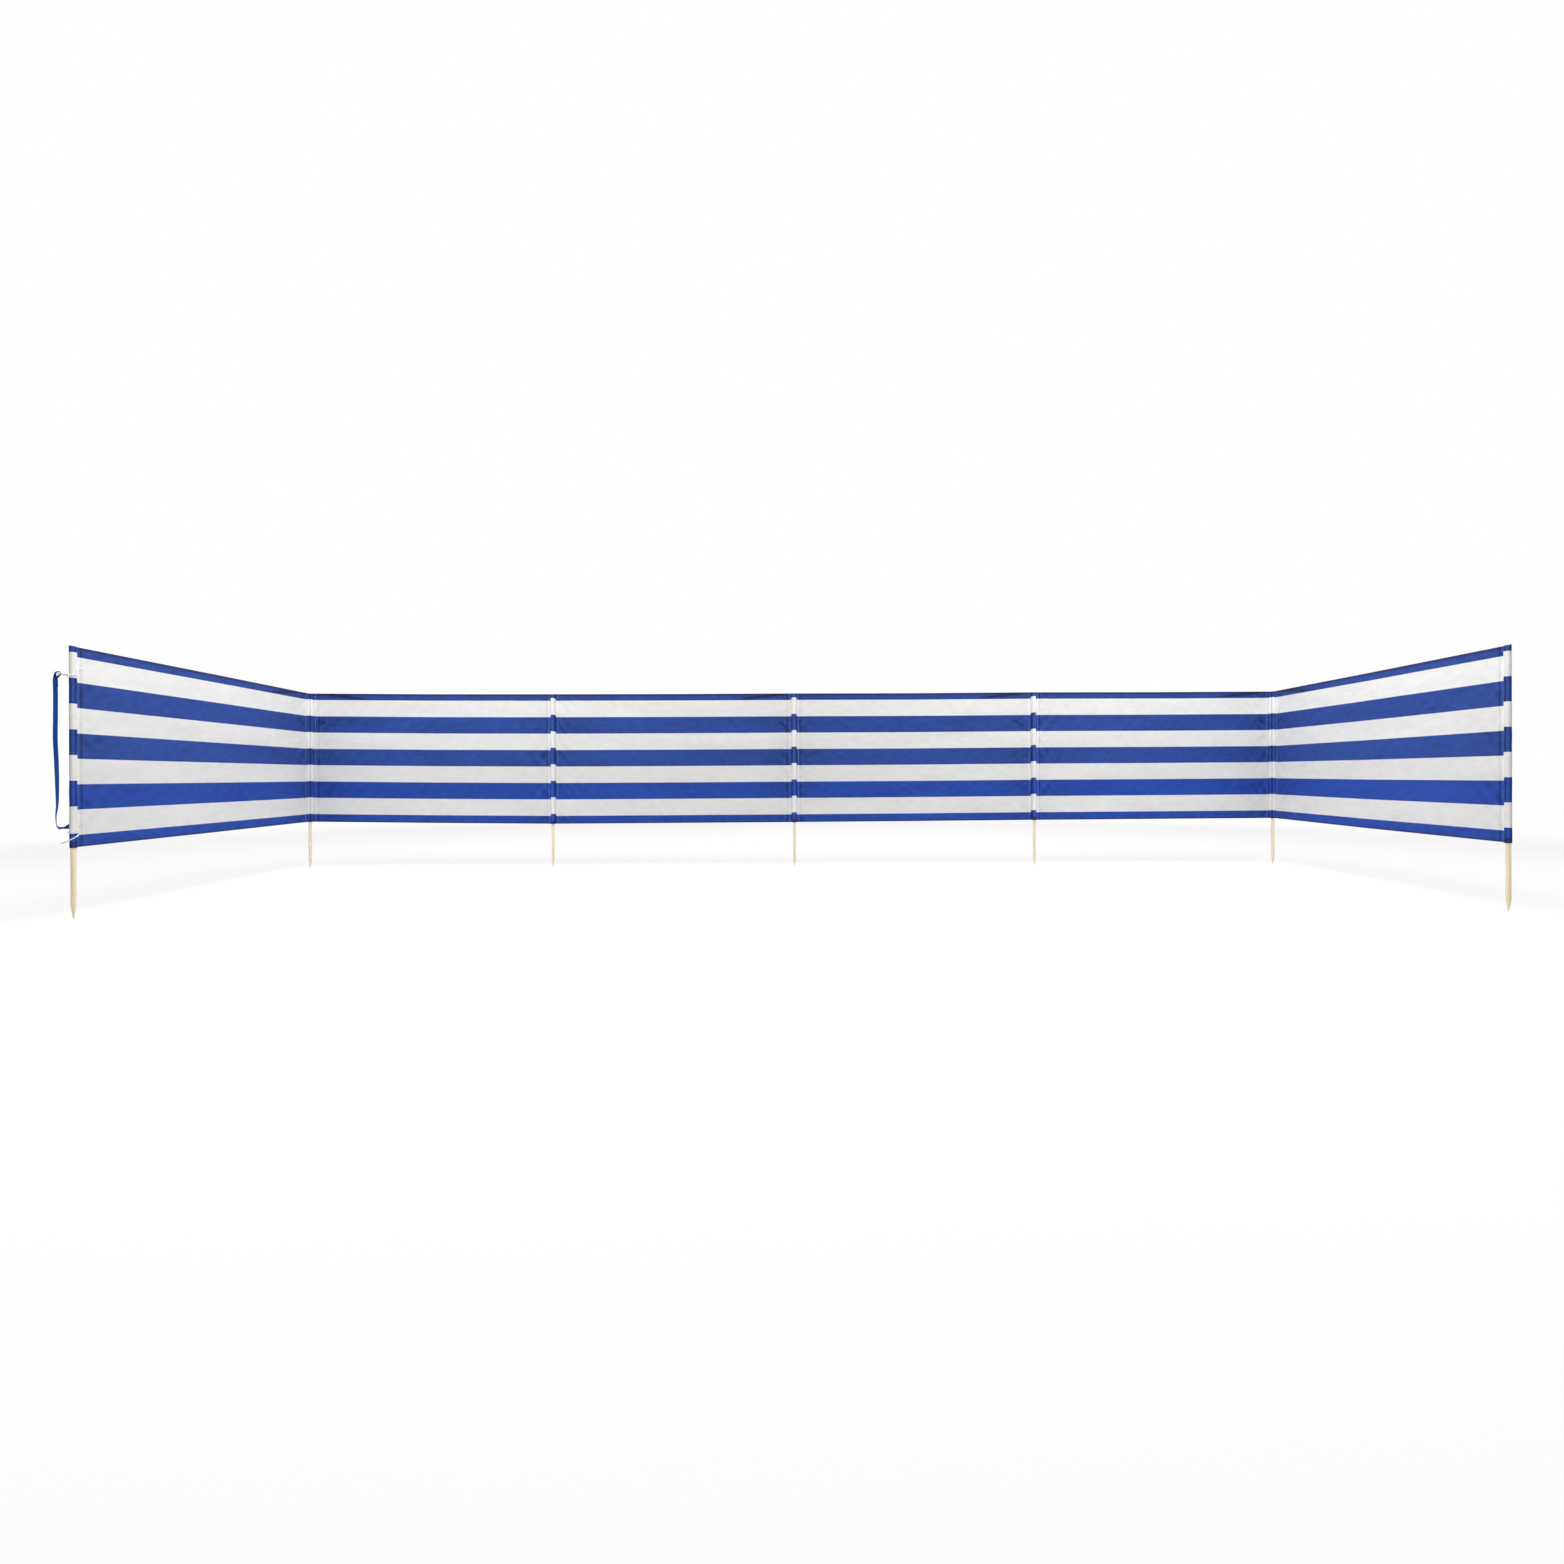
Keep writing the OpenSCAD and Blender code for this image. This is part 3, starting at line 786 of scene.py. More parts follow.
def lie_of(bay, along, up):
    """How far the cloth of a bay stands outwards from the straight line between its stakes."""
    rng = np.random.default_rng(40 + bay)
    middle = np.clip(along / bay_width, 0, 1)
    free = fade(along, CALM_REACH, 0.16) * fade(bay_width - along, CALM_REACH, 0.16)
    calm = fade(along, CALM_REACH, 0.04) * fade(bay_width - along, CALM_REACH, 0.04)
    hem_hold = 0.35 + 0.65 * fade(up, cloth_bottom, cloth_bottom + 0.12) * fade(cloth_top - up, 0.0, 0.10)
    belly = BELLY_DEPTH * np.sin(math.pi * middle) ** 2 * (0.55 + 0.45 * fade(cloth_top - up, 0.0, 0.4))
    long_folds = LONG_FOLD_DEPTH * ripples(rng, along, up, 5, (0.9, 2.2), (0.10, 0.30))
    slack = SLACK_DEPTH * ripples(rng, along, up, 6, (0.20, 0.60), (0.06, 0.16))
    small = SMALL_FOLD_DEPTH * ripples(rng, along, up, 8, (0.03, 0.09), (0.03, 0.07))
    creases = soft_creases(bay, along, up) + FOLD_DEPTH * sharp_folds(bay, along, up)
    return belly * free + (long_folds + slack) * free * hem_hold + (small + creases) * calm


# Distance from a stake within which a panel's columns are close, and the counts of columns and rows
CLOSE_REACH = 0.13
CLOSE_COLUMNS = 34
MIDDLE_COLUMNS = 84
FACE_ROWS = 108
BACK_ROWS = 60


def bay_columns(bay):
    """Distances along a bay's cloth at which its mesh has columns, closer together near the stakes."""
    start, end = turns_of(bay)
    flap = np.linspace(0, SEAM_REACH, 7)
    beyond_seam = SEAM_REACH + np.array([1.5, 3, 5]) * MM
    creased = np.linspace(SEAM_REACH + 7.5 * MM, CLOSE_REACH, CLOSE_COLUMNS)
    near = np.concatenate([flap, beyond_seam, creased])
    middle = np.linspace(CLOSE_REACH, bay_width - CLOSE_REACH, MIDDLE_COLUMNS)[1:-1]
    wrapped = np.linspace(-start * face_reach, 0, 8)[:-1] if start > 0 else []
    onwards = np.linspace(bay_width, bay_width + end * face_reach, 8)[1:] if end > 0 else []
    return np.concatenate([wrapped, near, middle, bay_width - near[::-1], onwards])


def face_rows(low, high, count):
    """Heights of a panel's rows, closer together where its sharp folds lie and in its top hem."""
    heights = np.linspace(low, high, 2000)
    folded = 2.2 * bell(heights, FOLD_HEIGHT, FOLD_SPREAD)
    hemmed = 2.5 * fade(heights, first_edge - 4 * MM, first_edge)
    density = 1 + folded + hemmed
    share = np.cumsum(density) - density[0]
    return np.interp(np.linspace(0, 1, count), share / share[-1], heights)


def hem_section():
    """Closed outline of a panel cut across: heights, and distances out from the sheltered face."""
    t = cloth_layer
    face = [(z, 0.0) for z in face_rows(cloth_bottom + t, cloth_top - t, FACE_ROWS)]
    angles = np.radians([30, 60, 90, 120, 150])
    top_fold = [(cloth_top - t + t * math.sin(a), t - t * math.cos(a)) for a in angles]
    top_edge = cloth_top - TOP_HEM
    low_edge = cloth_bottom + BOTTOM_HEM
    lip = [(0.2 * MM, t), (0.0, 1.7 * t), (-0.6 * MM, 2.2 * t), (-2 * MM, 2.3 * t)]
    top_hem = [(z, 2 * t) for z in np.linspace(cloth_top - t, top_edge + 4 * MM, 6)]
    top_step = [(top_edge - drop, out) for drop, out in reversed(lip)]
    back = [(z, t) for z in face_rows(low_edge + 2 * MM, top_edge - 2 * MM, BACK_ROWS)[::-1]]
    low_step = [(low_edge + drop, out) for drop, out in lip]
    low_hem = [(z, 2 * t) for z in np.linspace(low_edge - 4 * MM, cloth_bottom + t, 7)]
    low_fold = [(cloth_bottom + t - t * math.sin(a), t + t * math.cos(a)) for a in angles]
    return np.array(face + top_fold + top_hem + top_step + back + low_step + low_hem + low_fold)


def cloth_points(bay, along, up, out):
    """Places in the frame on a bay's cloth."""
    line, direction = cloth_line(along)
    reach = lie_of(bay, along, up) + out
    plan = line + direction * reach[..., None]
    height = up + hang(bay + along / bay_width, up)
    return to_world(bay, np.concatenate([plan, height[..., None]], axis=-1))


def panel_piece(bay):
    """Cloth of one bay, one layer thick with folded hems."""
    section = hem_section()
    columns = bay_columns(bay)
    along, up = np.meshgrid(columns, section[:, 0], indexing="ij")
    out = np.broadcast_to(section[:, 1], along.shape)
    points = cloth_points(bay, along, up, out).reshape(-1, 3)
    faces = capped_faces(len(columns), len(section))
    places = np.stack([along + bay * bay_width, up], axis=-1).reshape(-1, 2)
    name = PANELS[bay].replace("panel", "cloth")
    shade = painted_shade_and_highlight(bay, along, up)
    flat = corner_places(faces, places)
    piece = new_piece(name, points, faces, CANVAS, "striped_cloth", flat, shade)
    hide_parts(PANELS[bay])
    return piece


# Stitching

STITCH_LENGTH = 4.0 * MM
STITCH_WIDTH = 0.7 * MM
STITCH_RISE = 0.35 * MM


def stitch_row(points, outward):
    """Points and faces of a row of stitches, one between each pair of neighbours in a line of holes."""
    points, outward = np.asarray(points), unit(np.asarray(outward))
    centre = (points[:-1] + points[1:]) / 2
    ahead = unit(points[1:] - points[:-1])
    rise = unit(outward[:-1] + outward[1:])
    side = unit(np.cross(ahead, rise))
    half = STITCH_LENGTH / 2
    sunk = 0.2 * STITCH_RISE * rise
    corners = [centre - half * ahead - sunk]
    for reach in (-0.6 * half, 0.6 * half):
        corners.append(centre + reach * ahead - STITCH_WIDTH / 2 * side - sunk)
        corners.append(centre + reach * ahead + STITCH_RISE * rise)
        corners.append(centre + reach * ahead + STITCH_WIDTH / 2 * side - sunk)
    corners.append(centre + half * ahead - sunk)
    made = np.stack(corners, axis=1)
    first_end = [(0, 2, 1), (0, 3, 2), (0, 1, 3)]
    sides = [(1, 2, 5, 4), (2, 3, 6, 5), (3, 1, 4, 6)]
    last_end = [(7, 4, 5), (7, 5, 6), (7, 6, 4)]
    pattern = first_end + sides + last_end
    faces = [tuple(8 * i + corner for corner in face) for i in range(len(made)) for face in pattern]
    return made.reshape(-1, 3), faces


def joined(rows):
    """Several rows of stitches as one list of points and faces."""
    points, faces = [], []
    for row_points, row_faces in rows:
        start = sum(len(p) for p in points)
        points.append(row_points)
        faces += [tuple(start + corner for corner in face) for face in row_faces]
    return np.concatenate(points), faces


def stitched_line(bay, start, end, out, facing):
    """Row of stitches between two places on a bay's cloth, on its sheltered face or its outside."""
    start, end = np.array(start), np.array(end)
    holes = np.linspace(start, end, int(np.linalg.norm(end - start) / STITCH_PITCH) + 1)
    reach = np.full(len(holes), out)
    points = cloth_points(bay, holes[:, 0], holes[:, 1], reach)
    ahead = cloth_points(bay, holes[:, 0], holes[:, 1], reach + facing * MM)
    return stitch_row(points, ahead - points)


def hem_stitching(bay):
    """Stitches that hold both hems of a bay."""
    start, end = turns_of(bay)
    low = -start * face_reach + 1 * MM
    high = bay_width + end * face_reach - 1 * MM
    heights = (first_edge + 3.5 * MM, cloth_bottom + BOTTOM_HEM - 3.5 * MM)
    rows = [stitched_line(bay, (low, height), (high, height), out, facing)
            for height in heights for out, facing in ((0.0, -1), (2.2 * cloth_layer, 1))]
    points, faces = joined(rows)
    name = PANELS[bay].replace("panel", "hem_stitches")
    return new_piece(name, points, faces, BLUE_THREAD, "striped_cloth")


def make_panels():
    """Cloth of all bays, with its hem stitches."""
    for bay in range(len(PANELS)):
        cloth = panel_piece(bay)
        stitches = hem_stitching(bay)


# Sleeves

SLEEVE_LAYER = 0.8 * MM
SLEEVE_LOOSENESS = 0.5 * MM
SLEEVE_ROWS = 92
# Where a sleeve starts to close below the top of its stake, and how far it rises from there
CLOSING_DROP = 1.5 * MM
CLOSING_RISE = 3.2 * MM
# How far an end sleeve's free side tucks in behind its stake
END_TUCK = math.radians(60)
# Painted shades across a sleeve's tube, each with a place, a width and a darkness, which is below zero
# where it is a painted highlight: by degrees round an end stake, and by millimetres to the side of the others
END_TUBE_LINES = [(97, 20, 1.2), (1, 18, 1.4), (52, 15, -0.45)]
BACK_TUBE_LINES = [(12.3, 2.8, 1.3), (0, 3.5, -0.65)]
CORNER_CREASE_SHADE = [(-1, 2.4, 2.3)]
CORNER_PAINTED_HIGHLIGHTS = [(9, 3, -0.35)]
# Painted shade along the foot of a sleeve's tube
TUBE_FOOT_SHADE = 0.35
TUBE_FOOT_WIDTH = 2.5 * MM
EYELET_RADIUS = 2.6 * MM
EYELET_THREAD = 0.5 * MM
EYELET_SIDES = 8
HOLE_REACH = 14.5 * MM
UPPER_HOLE = cloth_top - 104 * MM
LOWER_HOLE = cloth_bottom + 54 * MM


def turns_corner(i):
    """Whether the cloth turns a corner at a stake."""
    return 0 < i < LAST_STAKE and abs(headings[i - 1] - headings[i]) > 0.1


def sleeve_half(i):
    """Half the width of a stake's sleeve at the panel."""
    tight = i in (0, LAST_STAKE) or turns_corner(i)
    return TIGHT_SLEEVE_HALF if tight else SLEEVE_HALF


def stripe_lift(i):
    """How much higher a sleeve's stripes lie than those of the panels."""
    return CORNER_LIFT if turns_corner(i) else SLEEVE_LIFT


def turned(points, angle):
    """Plan points turned round the stake."""
    c, s = math.cos(angle), math.sin(angle)
    return np.stack([c * points[:, 0] - s * points[:, 1], s * points[:, 0] + c * points[:, 1]], axis=1)


def tangent_angle(half_width):
    """Where a sleeve's side leaves the round front, from the direction along its bay."""
    return math.atan2(face_reach, half_width) - math.acos(face_reach / math.hypot(half_width, face_reach))


def side_line(half_width):
    """Seam allowance and side of a sleeve, from its outer edge to the round front."""
    seat = face_reach - cloth_layer
    angle = tangent_angle(half_width)
    touch = face_reach * np.array([math.cos(angle), math.sin(angle)])
    slope = (half_width - touch[0]) / (face_reach - touch[1])
    fold = np.array([half_width - slope * cloth_layer, seat])
    allowance = [np.array([x, seat]) for x in np.linspace(SEAM_REACH, fold[0], 9)]
    side = [fold + (touch - fold) * share for share in np.linspace(0, 1, 8)[1:]]
    return np.array(allowance + side), len(allowance)


def sleeve_section(i):
    """Plan of a sleeve's outside at a stake, and whether each point is on the tube."""
    half = sleeve_half(i)
    side, allowance = side_line(half)
    tube_side = np.arange(len(side)) >= allowance - 1
    mirror = np.array([-1.0, 1.0])
    start = headings[0] + END_TUCK
    end = headings[LAST_BAY] + 3 * math.pi - END_TUCK
    if i > 0:
        start = headings[i - 1] + math.pi - tangent_angle(half)
    if i < LAST_STAKE:
        end = headings[i] + tangent_angle(half) + 2 * math.pi
    count = max(10, int(math.degrees(end - start) / 6))
    arc_angles = np.linspace(start, end, count)
    parts = [face_reach * np.stack([np.cos(arc_angles), np.sin(arc_angles)], axis=1)]
    tube = [np.full(count, True)]
    if i > 0:
        parts.insert(0, turned(side * mirror, headings[i - 1])[:-1])
        tube.insert(0, tube_side[:-1])
    if i < LAST_STAKE:
        parts.append(turned(side, headings[i])[::-1][1:])
        tube.append(tube_side[::-1][1:])
    return np.concatenate(parts), np.concatenate(tube)


def sleeve_rows():
    """Heights of a sleeve's rows, and how far each row is drawn in to close the top."""
    straight = np.linspace(cloth_bottom, stake_top - CLOSING_DROP, SLEEVE_ROWS)
    turn = np.radians([15, 32, 50, 68, 84])
    heights = np.concatenate([straight, stake_top - CLOSING_DROP + CLOSING_RISE * np.sin(turn)])
    return heights, np.concatenate([np.zeros(len(straight)), 1 - np.cos(turn)])


def tube_shade(i, plan, across):
    """Painted shade across a sleeve's tube: a painted highlight where it is nearest, painted shade down its
    sides, a painted crease shadow at a corner.
    """
    if turns_corner(i):
        return line_shade(across / MM, CORNER_CREASE_SHADE) + line_shade(np.abs(across) / MM, CORNER_PAINTED_HIGHLIGHTS)
    local = turned(plan, -headings[min(i, LAST_BAY)])
    if i in (0, LAST_STAKE):
        free = -local[:, 0] if i == 0 else local[:, 0]
        return line_shade(np.degrees(np.arctan2(free, -local[:, 1])), END_TUBE_LINES)
    return line_shade(np.abs(local[:, 0]) / MM, BACK_TUBE_LINES)


def seam_shade(i, plan, across, on_tube):
    """Painted shade and highlights across a sleeve: over its tube, at the tube's foot and on its seam
    allowance.
    """
    half_run = across[on_tube][-1]
    reach = np.sqrt(np.maximum((plan ** 2).sum(axis=1) - (face_reach - cloth_layer) ** 2, 0))
    side = np.where(across < 0, painted_seam_lines(i, -1, reach), painted_seam_lines(i, 1, reach))
    foot = TUBE_FOOT_SHADE * bell(np.abs(across), half_run, TUBE_FOOT_WIDTH)
    return np.where(on_tube, tube_shade(i, plan, across), side + foot)


def sleeve_outside(i, plan, on_tube, over, up, drawn):
    """Places in the frame on a sleeve's outside, loose on its stake and drawn in over the stake's top."""
    rng = np.random.default_rng(70 + i)
    outward = (headings[max(i - 1, 0)] + headings[min(i, LAST_BAY)]) / 2 + math.pi / 2
    closing = (face_reach - cloth_layer) * np.array([math.cos(outward), math.sin(outward)])
    sideways = np.array([math.cos(outward - math.pi / 2), math.sin(outward - math.pi / 2)])
    spread = np.clip(plan @ sideways, -SLEEVE_HALF, SLEEVE_HALF) * 0.8
    target = np.where(on_tube[:, None], closing + spread[:, None] * sideways, plan)
    tangent = unit(np.gradient(plan, axis=0))
    facing = np.stack([tangent[:, 1], -tangent[:, 0]], axis=1)
    loose = SLEEVE_LOOSENESS * (1 + ripples(rng, over, up, 5, (0.05, 0.2), (0.05, 0.18)))
    loose = np.clip(loose, 0, None) * on_tube * (1 - fade(drawn, 0.0, 0.3))[:, None]
    loose *= fade(np.abs(over), SLEEVE_HALF * 1.5, SLEEVE_HALF * 0.7)
    shape = plan + (target - plan) * drawn[:, None, None] + facing * loose[..., None]
    height = up + hang(i, up)
    return np.concatenate([shape + stake_places[i], height[..., None]], axis=-1)


def sleeve_faces(rows, columns):
    """Faces of a sleeve whose points are a grid for its outside and then one for its inside."""
    count = rows * columns
    front = ring_faces(rows, columns, closed=False)
    back = [tuple(count + corner for corner in reversed(face)) for face in front]
    low_edge = list(range(columns))
    right_edge = [r * columns + columns - 1 for r in range(1, rows)]
    top_edge = [(rows - 1) * columns + c for c in range(columns - 2, -1, -1)]
    left_edge = [r * columns for r in range(rows - 2, 0, -1)]
    around = low_edge + right_edge + top_edge + left_edge
    rim = [(b, a, a + count, b + count) for a, b in zip(around, around[1:] + around[:1])]
    return front + back + rim


def sleeve_places(i, faces, over, up, on_tube):
    """Places on the flat cloth for a sleeve's face corners, with its stripes lifted on the tube."""
    rows, columns = over.shape
    count = rows * columns
    half_run = over[0][on_tube][-1]
    rounded = 1 - 0.35 * np.clip(np.abs(over) / half_run, 0, 1) ** 4
    lifted = np.stack([over, up - stripe_lift(i) * rounded], axis=-1).reshape(-1, 2)
    level = np.stack([over, up], axis=-1).reshape(-1, 2)
    places = []
    for face in faces:
        tube_face = all(on_tube[(corner % count) % columns] for corner in face)
        source = lifted if tube_face else level
        places += [source[corner % count] for corner in face]
    return places


def sleeve_piece(i):
    """Strip of cloth sewn over a stake, open below and closed over the stake's top, and its cut width."""
    plan, on_tube = sleeve_section(i)
    heights, drawn = sleeve_rows()
    run = run_along(plan)
    tube_run = run[on_tube]
    across = run - (tube_run[0] + tube_run[-1]) / 2
    up, over = np.meshgrid(heights, across, indexing="ij")
    outer = sleeve_outside(i, plan, on_tube, over, up, drawn)
    normal = unit(np.cross(np.gradient(outer, axis=1), np.gradient(outer, axis=0)))
    inner = outer - SLEEVE_LAYER * normal
    points = np.concatenate([outer.reshape(-1, 3), inner.reshape(-1, 3)])
    faces = sleeve_faces(*over.shape)
    places = sleeve_places(i, faces, over, up, on_tube)
    shade = np.tile(seam_shade(i, plan, across, on_tube), 2 * len(heights))
    canvas = CORNER_CANVAS if turns_corner(i) else SLEEVE_CANVAS
    piece = new_piece(SLEEVES[i] + "_cloth", points, faces, canvas, "sleeve_cloth", places, shade)
    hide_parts(SLEEVES[i])
    return piece, length_of(plan)


def eyelet(place):
    """Sewn ring round a tie hole, at a place on the left wing's plan."""
    turn = np.linspace(0, 2 * math.pi, 28, endpoint=False)
    round_thread = np.linspace(0, 2 * math.pi, EYELET_SIDES, endpoint=False)
    a, b = np.meshgrid(turn, round_thread, indexing="ij")
    reach = EYELET_RADIUS + EYELET_THREAD * np.cos(b)
    ring = np.stack([reach * np.cos(a), EYELET_THREAD * np.sin(b), reach * np.sin(a)], axis=-1)
    points = to_world(0, ring + np.array(place)).reshape(-1, 3)
    faces = ring_faces(len(turn), EYELET_SIDES)
    last = (len(turn) - 1) * EYELET_SIDES
    for k in range(EYELET_SIDES):
        after = (k + 1) % EYELET_SIDES
        faces.append((last + k, last + after, after, k))
    return points, faces


def sleeve_stitching(i):
    """Two pieces of stitching, seen on both faces: beside the tube, and along the seam allowance."""
    low, high = cloth_bottom + 3 * MM, cloth_top - 2 * MM
    sides = [(i, 1)] * (i < LAST_STAKE) + [(i - 1, -1)] * (i > 0)
    inner, outer = [], []
    for bay, side in sides:
        for rows, reach in ((inner, sleeve_half(i) + 1.2 * MM), (outer, SEAM_REACH - 4.5 * MM)):
            along = reach if side > 0 else bay_width - reach
            for out, facing in ((-cloth_layer, -1), (cloth_layer, 1)):
                rows.append(stitched_line(bay, (along, low), (along, high), out, facing))
    if i == 0:
        for height in (UPPER_HOLE, LOWER_HOLE):
            outer.append(eyelet((HOLE_REACH, face_reach - cloth_layer, height)))
            outer.append(eyelet((HOLE_REACH, face_reach + cloth_layer, height)))
    first = new_piece(SLEEVES[i] + "_inner_stitches", *joined(inner), BLUE_THREAD, "sleeve_cloth")
    second = new_piece(SLEEVES[i] + "_outer_stitches", *joined(outer), PALE_THREAD, "sleeve_cloth")
    return [first, second]


def make_sleeves():
    """Sleeves of all stakes, with their stitches."""
    for i in range(len(SLEEVES)):
        cloth, cut_width = sleeve_piece(i)
        stitches = sleeve_stitching(i)


# Carry strap and tie cords

STRAP_WIDTH = 20 * MM
STRAP_THICKNESS = 1.4 * MM
CORD_DIAMETER = 4.2 * MM
# Routes of the strap and the cords beside the left end stake, in millimetres: towards the corner, outwards,
# and up from a tie hole
STRAP_ROUTE = [
    (-29.1, 31.2, 536), (-29.4, 31.5, 556), (-27.4, 30.7, 568), (-24.1, 27, 574),
    (-20.5, 22.9, 580), (-19.3, 21.5, 585), (-21.2, 23.6, 589.5), (-24.5, 27.4, 590.5),
    (-27.8, 31.1, 588), (-29.4, 33, 581), (-29.7, 33.3, 570), (-29.6, 33.2, 557),
    (-29.1, 32.6, 514), (-29.2, 32.8, 426), (-29.6, 33.2, 339), (-28.6, 32.1, 295),
    (-27.8, 31.1, 251), (-27.1, 30.4, 207), (-26.8, 30, 163), (-26.6, 29.8, 120),
    (-26.9, 30.2, 98), (-28.4, 31.9, 76), (-28.9, 32.4, 54), (-28.2, 31.7, 34),
    (-26.4, 29.6, 24), (-21.8, 24.8, 18), (-14.4, 20.6, 19), (-4.5, 17, 22),
    (4, 14.6, 23.5), (12, 12.2, 23.5), (24, 12.2, 23.5), (36, 12.2, 23.5), (46, 12.2, 23.5),
]
UPPER_TIE_ROUTE = [
    (46, 6.8, 30), (37, 7.5, 30), (29, 7.3, 27), (21, 5, 14), (15.5, 1, 2),
    (12.3, -2.4, 0), (9.6, -8, 0), (4.3, -11.8, 0), (-2.2, -12.5, 0), (-8.2, -9.8, -1),
    (-16, -3, -1), (-24.5, 4, 0), (-31, 12, 1), (-31.3, 20, 2), (-24.1, 27, 2),
    (-17, 33.2, 2), (-10, 34, 1.5), (-5, 28.5, 1), (-1, 21.5, 0.5), (4, 16.2, 0),
    (9, 15, 0), (12.8, 15, 0), (14.5, 12.5, 0), (14.5, 8.5, 0), (14.6, 5.5, -3), (16, 3, -9),
]
LOWER_TIE_ROUTE = [
    (-12.3, 32, -39), (-12.6, 22, -37), (-13.2, 12, -33), (-13.6, 3.5, -28.5), (-13.2, -0.5, -26),
    (-11.4, -5, -23), (-8, -9.6, -19), (-2.2, -12.5, -15), (4.3, -11.8, -11), (9.6, -8, -7),
    (12.7, -2, -4), (14.4, 4, -1), (14.5, 8.5, 0), (14.5, 12.5, 0), (12, 15, 0),
    (5, 14.4, 1), (-3, 13.7, 1), (-9.6, 9.6, 0), (-13, 3.5, -1), (-12.6, -3, -1),
    (-9, -9.2, -1), (-2.5, -12.8, -0.5), (4, -12.6, 1), (9.6, -9.6, 3),
]
# Degrees that the strap is turned about its route, at each point of it
STRAP_TURNS = [
    -34, -34, -22, -10, 0, 0, 0, 0, 4, 12, 24, 34, 35, 35, 35, 34, 33, 30, 26, 20,
    14, 9, 4, 0, -12, -30, -16, -45, -76, -90, -90, -90, -90,
]
STRAP_ACROSS = (0.75, 0.66, 0)
# Rows of stitches across the strap, counted in points of its route, and half their width
STRAP_SEAMS = (0.25, 0.75, 11.14, 11.37)
STRAP_SEAM_HALF = 7.5 * MM
# Stitched box on the strap's end: sides from the stake, heights from the tie hole, and the end's distance out
BOX_SIDES = (33 * MM, 44 * MM)
BOX_HEIGHTS = (16 * MM, 31 * MM)
STRAP_END_REACH = 12.2 * MM


def placed(points, hole):
    """Points of a route in metres, measured from a tie hole, still in the left wing's own plan."""
    return np.array(points, float) * MM + np.array([0, 0, hole])


def directions(curve):
    """Direction of travel at each point of a curve."""
    return unit(np.gradient(curve, axis=0))


def strap_rings(curve, turns):
    """Directions across the strap and out of its face, along its curve."""
    ahead = directions(curve)
    level = np.array(STRAP_ACROSS)
    level = unit(level - (ahead @ level)[:, None] * ahead)
    up = np.cross(ahead, level)
    angle = np.radians(turns)[:, None]
    wide = np.cos(angle) * level + np.sin(angle) * up
    return wide, np.cross(ahead, wide)


def webbing_section():
    """Outline of the webbing cut across: thin in the middle with fuller, rounded selvedges."""
    half_w, half_t = STRAP_WIDTH / 2, STRAP_THICKNESS / 2
    shares = np.linspace(-0.93, 0.93, 15)
    swell = 0.82 + 0.18 * np.abs(shares) ** 3
    top = [(s * half_w, half_t * h) for s, h in zip(shares, swell)]
    bottom = [(s * half_w, -half_t * h) for s, h in zip(shares[::-1], swell)]
    edge = [(half_w * 0.985, half_t * 0.6), (half_w, 0.0), (half_w * 0.985, -half_t * 0.6)]
    other = [(-x, -y) for x, y in edge]
    return np.array(top + edge + bottom + other)


def strap_stitching(curve, index, wide, out):
    """Stitches that close the strap's eye, and a stitched box that holds its end on the panel."""
    rows = []
    widths = np.linspace(-STRAP_SEAM_HALF, STRAP_SEAM_HALF, 5)[:, None]
    for place in STRAP_SEAMS:
        k = int(np.argmin(np.abs(index - place)))
        for facing in (-1, 1):
            holes = curve[k] + widths * wide[k] + facing * 0.92 * STRAP_THICKNESS / 2 * out[k]
            outward = np.broadcast_to(facing * out[k], holes.shape)
            points, faces = stitch_row(holes, outward)
            rows.append((to_world(0, points), faces))
    left, right = BOX_SIDES
    low, high = (LOWER_HOLE + height for height in BOX_HEIGHTS)
    corners = [(left, low), (right, low), (right, high), (left, high), (left, low), (right, high)]
    strap_face = STRAP_END_REACH + STRAP_THICKNESS / 2 - face_reach
    for start, end in zip(corners, corners[1:]):
        rows.append(stitched_line(0, start, end, 0.0, -1))
        rows.append(stitched_line(0, start, end, strap_face, 1))
    return new_piece("carry_strap_stitches", *joined(rows), BLUE_THREAD, "strap_webbing")


def make_strap():
    """Blue carry strap: an eye round the upper cord, a long hang, and an end sewn to the panel."""
    curve, index, run = curve_through(placed(STRAP_ROUTE, LOWER_HOLE), 2 * MM)
    turns = np.interp(index, np.arange(len(STRAP_TURNS)), STRAP_TURNS)
    wide, out = strap_rings(curve, turns)
    section = webbing_section()
    rings = curve[:, None] + section[None, :, :1] * wide[:, None] + section[None, :, 1:] * out[:, None]
    faces = capped_faces(len(curve), len(section))
    places = np.stack(np.broadcast_arrays(run[:, None], section[None, :, 0]), axis=-1).reshape(-1, 2)
    points = to_world(0, rings.reshape(-1, 3))
    flat = corner_places(faces, places)
    piece = new_piece("carry_strap_webbing", points, faces, WEBBING, "strap_webbing", flat)
    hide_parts("carry_strap")
    strap_stitching(curve, index, wide, out)


BRAID_SIDES = 24
BRAID_STRANDS = 4
BRAID_STEP = 0.5 * MM
# Shares of the cord's radius: its core, and how far the strands stand out from it
BRAID_CORE = 0.94
BRAID_RELIEF = 0.07
KNOT_SIZE = 1.75 * MM


